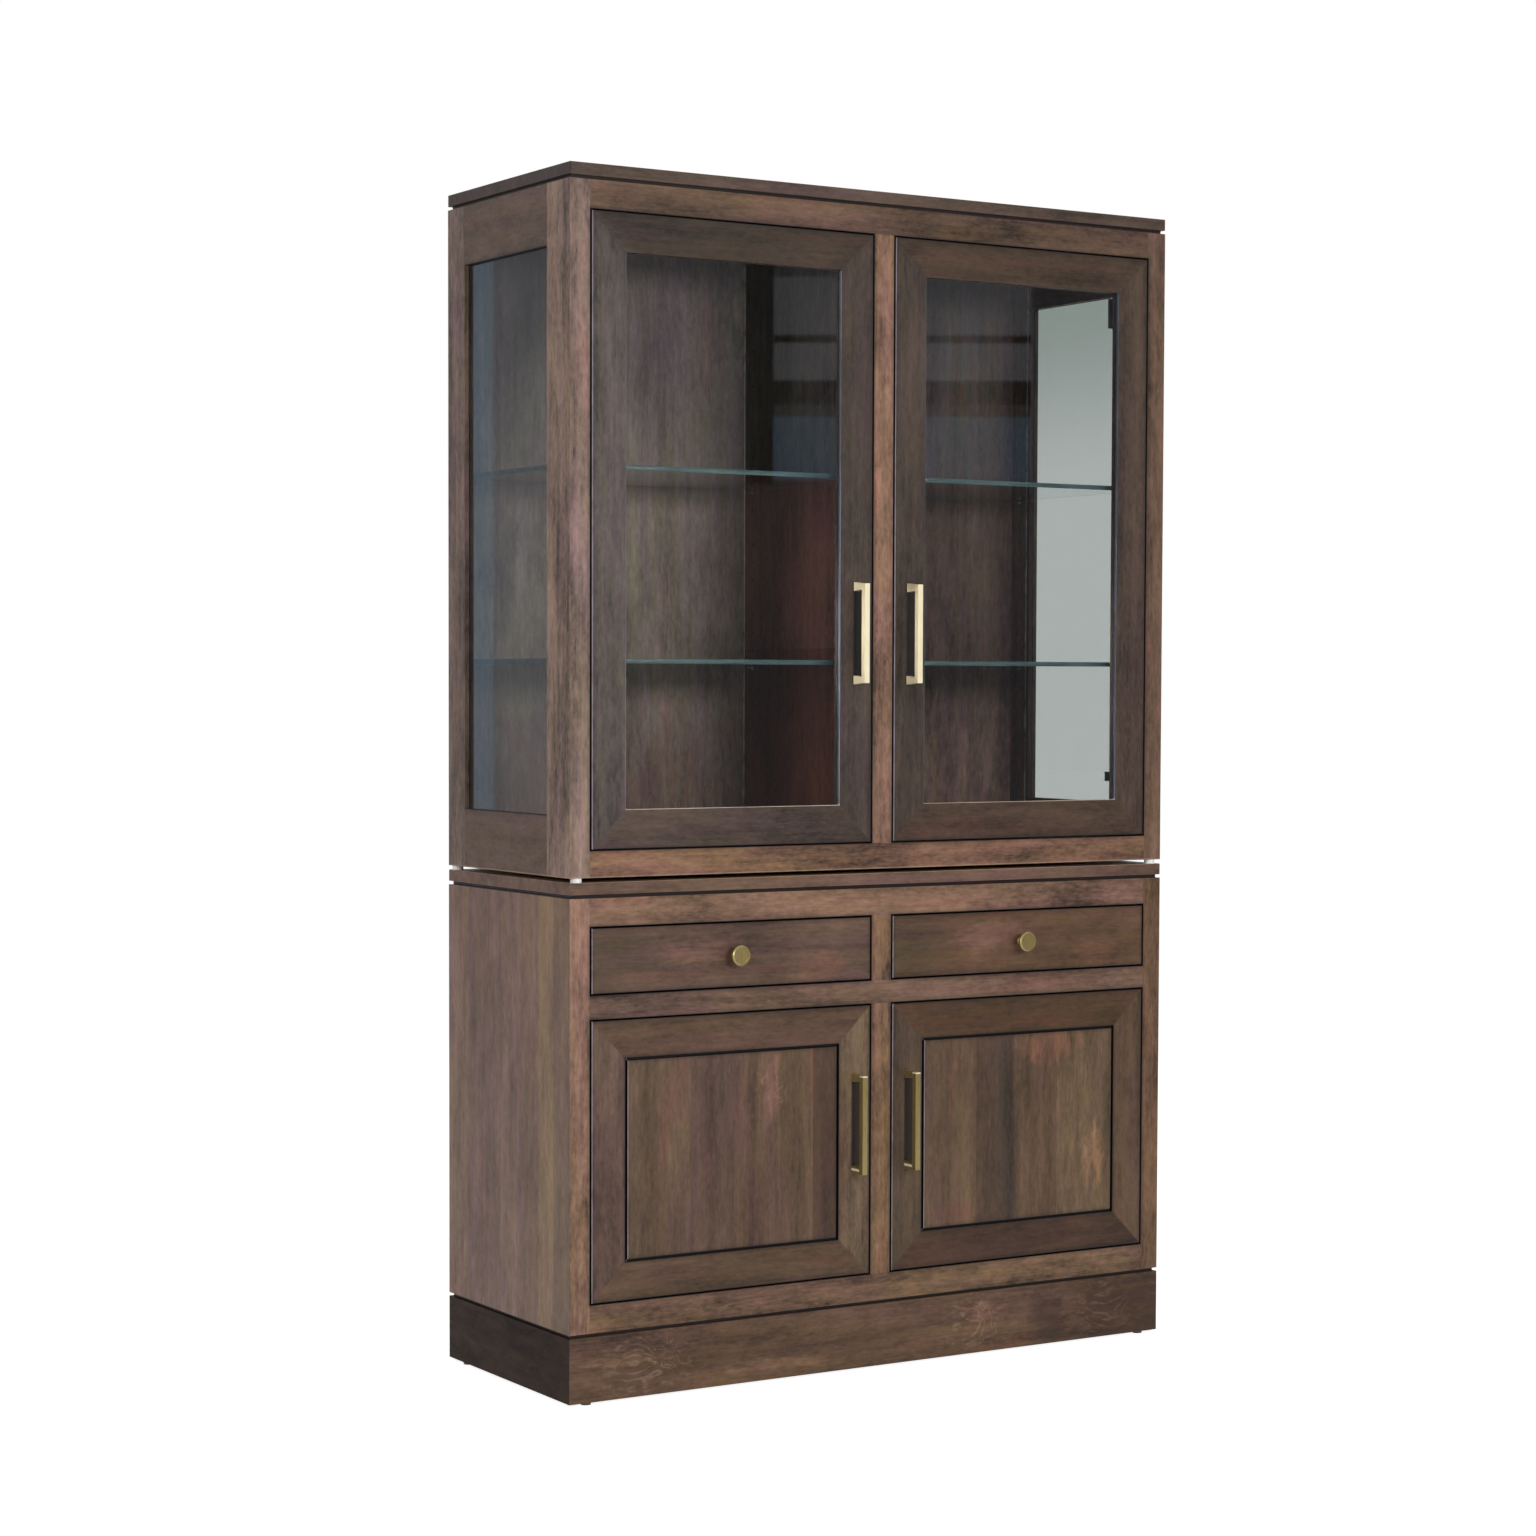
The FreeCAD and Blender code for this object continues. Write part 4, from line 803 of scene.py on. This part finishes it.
# ------------------------ shaping small fittings
def blank(name, low, high):
    """A squared block between two corners, in edit mode with nothing selected."""
    bpy.ops.object.select_all(action="DESELECT")
    bpy.ops.mesh.primitive_cube_add(size=1.0, location=[(a + b) / 2 for a, b in zip(low, high)])
    made = bpy.context.active_object
    made.name = name
    made.scale = [b - a for a, b in zip(low, high)]
    bpy.ops.object.transform_apply(location=True, rotation=True, scale=True)
    bpy.ops.object.mode_set(mode="EDIT")
    bpy.ops.mesh.select_mode(type="FACE")
    bpy.ops.mesh.select_all(action="DESELECT")
    return made


def pick_faces(piece, wanted):
    """Selects the faces whose middle and normal pass the test, and no others."""
    bpy.ops.mesh.select_all(action="DESELECT")
    shape = bmesh.from_edit_mesh(piece.data)
    for face in shape.faces:
        face.select_set(wanted(face.calc_center_median(), face.normal))
    bmesh.update_edit_mesh(piece.data)


def inset_and_push(rim, push):
    """Insets the picked faces and moves what's inside the rim."""
    bpy.ops.mesh.inset(thickness=rim)
    bpy.ops.mesh.extrude_region_move(TRANSFORM_OT_translate={"value": push})


def round_edges(piece, width):
    """Leaves edit mode and rounds what is sharp."""
    bpy.ops.object.mode_set(mode="OBJECT")
    bevel = piece.modifiers.new("Rounded", "BEVEL")
    bevel.width = width
    bevel.segments = 2
    bevel.angle_limit = SHARP
    bpy.ops.object.modifier_apply(modifier=bevel.name)
    bpy.ops.object.shade_smooth_by_angle(angle=math.radians(35))


def fit(piece, body, material):
    piece.data.materials.clear()
    piece.data.materials.append(material)
    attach(piece, body)


def copy_to(model, places):
    """Copies of a small piece, turned about Z, set down at their places and joined as one."""
    made = []
    for place, turn in places:
        piece = model.copy()
        piece.data = model.data.copy()
        bpy.context.collection.objects.link(piece)
        piece.matrix_world = Matrix.Translation(place) @ Matrix.Rotation(turn, 4, "Z")
        made.append(piece)
    bpy.ops.object.select_all(action="DESELECT")
    for piece in made:
        piece.select_set(True)
    bpy.context.view_layer.objects.active = made[0]
    bpy.ops.object.transform_apply(location=True, rotation=True, scale=True)
    bpy.ops.object.join()
    return made[0]


# ------------------------ clear strips round the panes, painted with highlights
STRIP = 1.3 * MM
STRIP_BACK_FROM_FACE = 0.6 * MM
LET_IN = 0.2 * MM


def edge_strip(side):
    """A clear strip along the sill and both sides of a glazed door's opening, before the pane."""
    outline = OUTLINES[f"upper_{side}"]
    middle_z, half_z = outline.centre[1], outline.half[1]
    left, right = outline.left + DOOR_MEMBER - LET_IN, outline.right - DOOR_MEMBER + LET_IN
    sill = middle_z - half_z + DOOR_MEMBER - LET_IN
    head = middle_z + half_z - DOOR_MEMBER - LET_IN
    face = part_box(f"upper_{side}_frame")[0].y + STRIP_BACK_FROM_FACE
    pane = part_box(f"upper_{side}_glass")[0].y
    strip = blank(f"upper_{side}_edge_strip", (left, face, sill), (right, pane, sill + STRIP))
    for cut in (left + STRIP, right - STRIP):
        bpy.ops.mesh.select_all(action="SELECT")
        bpy.ops.mesh.bisect(plane_co=(cut, 0.0, 0.0), plane_no=(1.0, 0.0, 0.0))

    def at_either_side(spot, normal):
        return normal.z > 0.9 and not left + STRIP < spot.x < right - STRIP

    pick_faces(strip, at_either_side)
    rise = (0.0, 0.0, head - sill - STRIP)
    bpy.ops.mesh.extrude_region_move(TRANSFORM_OT_translate={"value": rise})
    round_edges(strip, 0.35 * MM)
    return strip


def painted_highlight_strip(name, sill, sides):
    """Clear plastic painted with highlights: pale and warm along the sill, cooler up the sides."""
    finish = Finish(name)
    outline = OUTLINES["upper_left"]
    level = outline.centre[1] - outline.half[1] + DOOR_MEMBER
    upright = finish.levels(finish.axis("Z"), level + 1.2 * MM, level + 4.0 * MM)
    clouds = finish.noise(finish.stretched(finish.place, (6.0, 20.0, 6.0)), 1.0, 3.0)
    shade = finish.levels(clouds, 0.35, 0.6, 0.62, 1.0, smooth=True)
    colour = finish.blend(1.0, finish.blend(upright, sill, sides), finish.grey(shade), "MULTIPLY")
    return finish.finish(Base_Color=colour, Roughness=0.25)


# Each strip's painted highlight colours: along the sill, then up the sides.
STRIP_HIGHLIGHTS = {"left": (srgb(214, 200, 182), srgb(112, 120, 134)),
               "right": (srgb(190, 172, 152), srgb(84, 92, 106))}
for side, tones in STRIP_HIGHLIGHTS.items():
    fit(edge_strip(side), f"upper_{side}_door",
        painted_highlight_strip(f"{side}_edge_strip", *tones))

# ------------------------ edges of the glass shelves
SHELF_THICKNESS = 8.0 * MM
SHELF_FROM_MIDDLE = 13.5 * MM
SHELF_END_SETBACK = 2.0 * MM
GROUND_PROUD = 0.3 * MM
GROUND_RAISED = 0.2 * MM
GROUND_RIM = 0.8 * MM


def ground_strip(low, high, facing):
    """A strip along a shelf's edge, its face raised inside a rim."""
    outward = Vector(facing)
    strip = blank("shelf_edge", low, high)
    pick_faces(strip, lambda spot, normal: normal.dot(outward) > 0.9)
    inset_and_push(GROUND_RIM, outward * GROUND_RAISED)
    round_edges(strip, 0.15 * MM)
    return strip


def ground_edges():
    """The front edges of the four glass shelves and their ends beside the side panes."""
    low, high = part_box("glass_shelves")
    top = low.z + SHELF_THICKNESS
    front = ground_strip((low.x, low.y - GROUND_PROUD, low.z),
                         (-SHELF_FROM_MIDDLE, low.y + GROUND_PROUD, top), (0.0, -1.0, 0.0))
    end = ground_strip((low.x - GROUND_PROUD, low.y + SHELF_END_SETBACK, low.z),
                       (low.x + GROUND_PROUD, high.y, top), (-1.0, 0.0, 0.0))
    levels = (Vector(), Vector((0.0, 0.0, high.z - top)))
    bays = (Vector(), Vector((high.x + SHELF_FROM_MIDDLE, 0.0, 0.0)))
    turned = Vector((0.0, low.y + high.y + SHELF_END_SETBACK, 0.0))
    fronts = copy_to(front, [(bay + level, 0.0) for bay in bays for level in levels])
    ends = copy_to(end, [(level, 0.0) for level in levels]
                   + [(turned + level, math.pi) for level in levels])
    for model in (front, end):
        bpy.data.objects.remove(model)
    green = ground_edge("ground_glass_edge", (0.03, 0.07, 0.07, 1.0), (0.09, 0.17, 0.17, 1.0))
    for piece, name in ((fronts, "shelf_front_edges"), (ends, "shelf_end_edges")):
        piece.name = name
        fit(piece, "cabinet", green)


ground_edges()

# ------------------------ hinge tabs
TAB_SPAN = (514.0 * MM, 528.4 * MM)
TAB_DEPTH = (-168.0 * MM, -162.5 * MM)
TAB_LEVELS = {"upper": (1834.0 * MM, 1887.0 * MM), "lower": (1014.0 * MM, 1031.0 * MM)}
TAB_PAINTS = {"upper": moulded_plastic("damper_tab_grey", srgb(52, 62, 78), srgb(38, 44, 54)),
              "lower": moulded_plastic("hinge_tab_green", srgb(24, 40, 34), srgb(18, 28, 26))}
TAB_RIM = 1.6 * MM
TAB_SUNK = 0.8 * MM


def hinge_tab(low, high):
    """A finger tab on a hinge of the right door, its face sunk inside a rim."""
    tab = blank("hinge_tab", (TAB_SPAN[0], TAB_DEPTH[0], low), (TAB_SPAN[1], TAB_DEPTH[1], high))
    pick_faces(tab, lambda spot, normal: normal.y < -0.9)
    inset_and_push(TAB_RIM, (0.0, TAB_SUNK, 0.0))
    round_edges(tab, 0.5 * MM)
    return tab


for hinge, (low, high) in TAB_LEVELS.items():
    tab = hinge_tab(low, high)
    pair = copy_to(tab, [((0.0, 0.0, 0.0), 0.0), ((-sum(TAB_SPAN), 0.0, 0.0), 0.0)])
    bpy.data.objects.remove(tab)
    pair.name = f"{hinge}_hinge_tabs"
    fit(pair, "cabinet", TAB_PAINTS[hinge])

# ------------------------ hinge screws
SCREW_RADIUS = 3.8 * MM
SCREW_DEPTH = 1.8 * MM
SCREW_BEDDED = 0.2 * MM
SOCKET_RIM = 1.9 * MM
SOCKET_SUNK = 0.9 * MM
FLANGE_SCREW = 26.0 * MM
PLATE_SCREW = 17.5 * MM
PLATE_DEPTH = -146.0 * MM
PLATE_FROM_DOOR = 0.5 * MM
HINGE_INSET = 105.0 * MM


def screw_head():
    """A pan head facing +Y on the origin, with a sunk socket."""
    bpy.ops.object.select_all(action="DESELECT")
    bpy.ops.mesh.primitive_cylinder_add(
        vertices=24, radius=SCREW_RADIUS, depth=SCREW_DEPTH, rotation=(-math.pi / 2, 0.0, 0.0),
        location=(0.0, SCREW_DEPTH / 2 - SCREW_BEDDED, 0.0))
    head = bpy.context.active_object
    bpy.ops.object.transform_apply(location=True, rotation=True, scale=True)
    bpy.ops.object.mode_set(mode="EDIT")
    bpy.ops.mesh.select_mode(type="FACE")
    pick_faces(head, lambda spot, normal: normal.y > 0.9)
    inset_and_push(SOCKET_RIM, (0.0, -SOCKET_SUNK, 0.0))
    round_edges(head, 0.45 * MM)
    return head


def hinge_screws():
    """The screws in the cups' flanges, which ride their door, and in the plates on the case."""
    head = screw_head()
    nickel = nickelled_steel("screw_nickel")
    plate_places = []
    for name, outline in OUTLINES.items():
        flange_low, flange_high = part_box(f"{name}_hinge_cups")
        flange_x = (flange_low.x + flange_high.x) / 2
        inward = 1.0 if name.endswith("left") else -1.0
        levels = [outline.centre[1] + sign * (outline.half[1] - HINGE_INSET) for sign in (-1, 1)]
        heads = copy_to(head, [((flange_x, flange_high.y, level + sign * FLANGE_SCREW), 0.0)
                               for level in levels for sign in (-1, 1)])
        heads.name = f"{name}_flange_screws"
        fit(heads, f"{name}_door", nickel)
        plate_x = outline.centre[0] - inward * (outline.half[0] + PLATE_FROM_DOOR)
        plate_places += [((plate_x, PLATE_DEPTH, level + sign * PLATE_SCREW), -inward * math.pi / 2)
                         for level in levels for sign in (-1, 1)]
    plate_screws = copy_to(head, plate_places)
    plate_screws.name = "hinge_plate_screws"
    fit(plate_screws, "cabinet", nickel)
    bpy.data.objects.remove(head)


hinge_screws()

# ------------------------ room and floor
WHITE = (1.0, 1.0, 1.0, 1.0)
ROOM_LIGHT = 0.31
FLOOR_GLOW = 0.86


def white_room():
    """Even studio light. The plain white ground shows to the camera, in metal and through glass."""
    world = bpy.data.worlds.new("Studio")
    bpy.context.scene.world = world
    world.use_nodes = True
    nodes = Nodes(world.node_tree, "ShaderNodeOutputWorld")
    room, ground = (nodes.shader("ShaderNodeBackground", Color=WHITE, Strength=strength)
                    for strength in (ROOM_LIGHT, 1.0))
    nodes.show(nodes.seen_directly(), room, ground)


def stage_plane(name, size, place, turn=(0.0, 0.0, 0.0)):
    bpy.ops.object.select_all(action="DESELECT")
    bpy.ops.mesh.primitive_plane_add(size=1.0, location=place, rotation=turn)
    made = bpy.context.active_object
    made.name = name
    made.scale = (*size, 1.0)
    bpy.ops.object.transform_apply(location=False, rotation=False, scale=True)
    return made


def studio_floor():
    """A pale floor that keeps a soft shadow and meets the white ground without a line."""
    floor = stage_plane("StudioFloor", (60.0, 60.0), (0.0, 0.0, 0.0))
    finish = Finish("studio_floor")
    finish.finish(Base_Color=(0.8, 0.8, 0.8, 1.0), Roughness=0.9)
    both = finish.add("ShaderNodeAddShader")
    finish.join(finish.shader("ShaderNodeEmission", Color=WHITE, Strength=FLOOR_GLOW),
                both.inputs[0])
    finish.join(finish.shader("ShaderNodeBsdfDiffuse", Color=(0.5, 0.5, 0.5, 1.0)),
                both.inputs[1])
    finish.show(finish.seen_directly(), finish.surface.outputs["BSDF"], both.outputs[0])
    floor.data.materials.append(finish.material)


# ------------------------ cards and softboxes
FRONT_CARD_TURN = math.radians(32.0)
SIDE_CARD_TURN = math.radians(26.8)
FRONT_CARD_AWAY = 2.6
FRONT_MIDDLE = (0.0, -0.2, 1.0)


def before_card(across, up, away=FRONT_CARD_AWAY):
    """A spot before the glass, in metres across the front card, above the floor and away."""
    outward = Vector((math.sin(FRONT_CARD_TURN), -math.cos(FRONT_CARD_TURN), 0.0))
    sideways = Vector((math.cos(FRONT_CARD_TURN), math.sin(FRONT_CARD_TURN), 0.0))
    return tuple(Vector((*FRONT_MIDDLE[:2], up)) + outward * away + sideways * across)


def dark_card(name, size, place, turn, panes, ground):
    """A card that both faces of the glass mirror instead of the white room.

    panes lists its lighter and darker areas as (low corner, high corner, colour).
    """
    card = stage_plane(name, size, place, (math.pi / 2, 0.0, turn))
    for ray in ("camera", "diffuse", "shadow", "volume_scatter"):
        setattr(card, f"visible_{ray}", False)
    finish = Finish(f"{name}_paint")
    colour = ground
    for (low_x, low_y), (high_x, high_y), tint in panes:
        area = [("X", (low_x + high_x) / 2, (high_x - low_x) / 2),
                ("Y", (low_y + high_y) / 2, (high_y - low_y) / 2)]
        inside = finish.levels(finish.beyond(area), -6.0 * MM, 6.0 * MM, 1.0, 0.0, smooth=True)
        colour = finish.blend(inside, colour, tint)
    depth = finish.add("ShaderNodeLightPath").outputs["Glossy Depth"]
    finish.show(finish.maths("GREATER_THAN", depth, 0.5),
                finish.shader("ShaderNodeBsdfTransparent"),
                finish.shader("ShaderNodeEmission", Color=colour))
    card.data.materials.append(finish.material)


CARD = (0.15, 0.15, 0.16, 1.0)
PALE_PANE = (0.22, 0.22, 0.24, 1.0)
DUSK = (0.36, 0.37, 0.40, 1.0)
BLUE_DUSK = (0.24, 0.34, 0.44, 1.0)
BAR = (0.05, 0.05, 0.05, 1.0)
CARD_MIDDLE = (0.06, 1.18)
# Areas of the front card, in metres across it and above the floor.
FRONT_PANES = [
    ((-0.80, 1.69), (-0.29, 2.30), PALE_PANE),
    ((-0.28, 1.69), (-0.21, 2.30), BAR),
    ((-0.21, 1.95), (0.44, 2.21), DUSK),
    ((-0.21, 2.045), (0.44, 2.065), BAR),
    ((-0.21, 1.89), (0.44, 1.95), BAR),
    ((-0.21, 1.70), (0.44, 1.86), BLUE_DUSK),
]


def on_card(spot):
    return (spot[0] - CARD_MIDDLE[0], spot[1] - CARD_MIDDLE[1])


def softbox(name, place, target, size, power, colour=(1.0, 1.0, 1.0), mirrored=True,
            spread=180.0):
    data = bpy.data.lights.new(name, "AREA")
    data.shape = "RECTANGLE"
    data.size, data.size_y = size
    data.energy = power
    data.color = colour
    data.spread = math.radians(spread)
    made = bpy.data.objects.new(name, data)
    bpy.context.collection.objects.link(made)
    made.location = place
    made.rotation_euler = (Vector(target) - Vector(place)).to_track_quat("-Z", "Y").to_euler()
    made.visible_camera = made.visible_transmission = False
    made.visible_glossy = mirrored


white_room()
studio_floor()
softbox("FrontSoftbox", (-0.1, -4.0, 1.72), FRONT_MIDDLE, (1.5, 0.45), 60)
softbox("HighSoftbox", before_card(0.1, 3.15, 3.6), FRONT_MIDDLE, (1.6, 1.0), 14, mirrored=False)
softbox("LeftSoftbox", (-3.6, -1.9, 1.9), (-0.3, 0.0, 1.1), (0.8, 2.2), 44, (1.0, 0.97, 0.97))
softbox("PullSoftbox", before_card(0.065, 1.34, 2.55), (0.0, -0.2, 1.3), (0.17, 0.72), 3.3,
        (0.95, 0.97, 1.0))
softbox("PullSideSoftbox", (-0.60, -0.30, 1.276), (0.0, -0.237, 1.276), (0.10, 0.16), 0.10,
        mirrored=False, spread=25.0)
softbox("BackSoftbox", (2.4, 3.6, 2.2), (0.0, 0.2, 1.0), (1.6, 1.6), 46, mirrored=False)

dark_card("FrontCard", (1.8, 2.36), before_card(*CARD_MIDDLE), FRONT_CARD_TURN,
          [(on_card(low), on_card(high), tint) for low, high, tint in FRONT_PANES], CARD)
dark_card("SideCard", (1.0, 2.0), (-1.772, 2.351, 1.5), SIDE_CARD_TURN,
          [((0.035, -1.0), (0.5, 1.0), (0.38, 0.47, 0.60, 1.0))], (0.33, 0.31, 0.36, 1.0))

# ------------------------ camera
IMAGE_SIDE = 1536
FOCAL_PIXELS = 3232.1
CENTRE_PIXEL = (798.2, 824.8)
SENSOR = 36.0
CAMERA_PLACE = (-3.0751, -4.8690, 1.1949)
CAMERA_TURN = math.radians(31.927)
CAMERA_DOWN = math.radians(2.556)
CAMERA_ROLL = math.radians(0.2006)


def camera():
    data = bpy.data.cameras.new("Camera")
    data.sensor_width = SENSOR
    data.lens = SENSOR * FOCAL_PIXELS / IMAGE_SIDE
    data.shift_x = (IMAGE_SIDE / 2 - CENTRE_PIXEL[0]) / IMAGE_SIDE
    data.shift_y = (CENTRE_PIXEL[1] - IMAGE_SIDE / 2) / IMAGE_SIDE
    made = bpy.data.objects.new("Camera", data)
    bpy.context.collection.objects.link(made)
    turn = Matrix.Rotation(-CAMERA_TURN, 4, "Z")
    down = Matrix.Rotation(math.pi / 2 - CAMERA_DOWN, 4, "X")
    roll = Matrix.Rotation(CAMERA_ROLL, 4, "Z")
    made.matrix_world = Matrix.Translation(CAMERA_PLACE) @ turn @ down @ roll
    bpy.context.scene.camera = made


camera()
bpy.context.scene.view_settings.view_transform = "Standard"
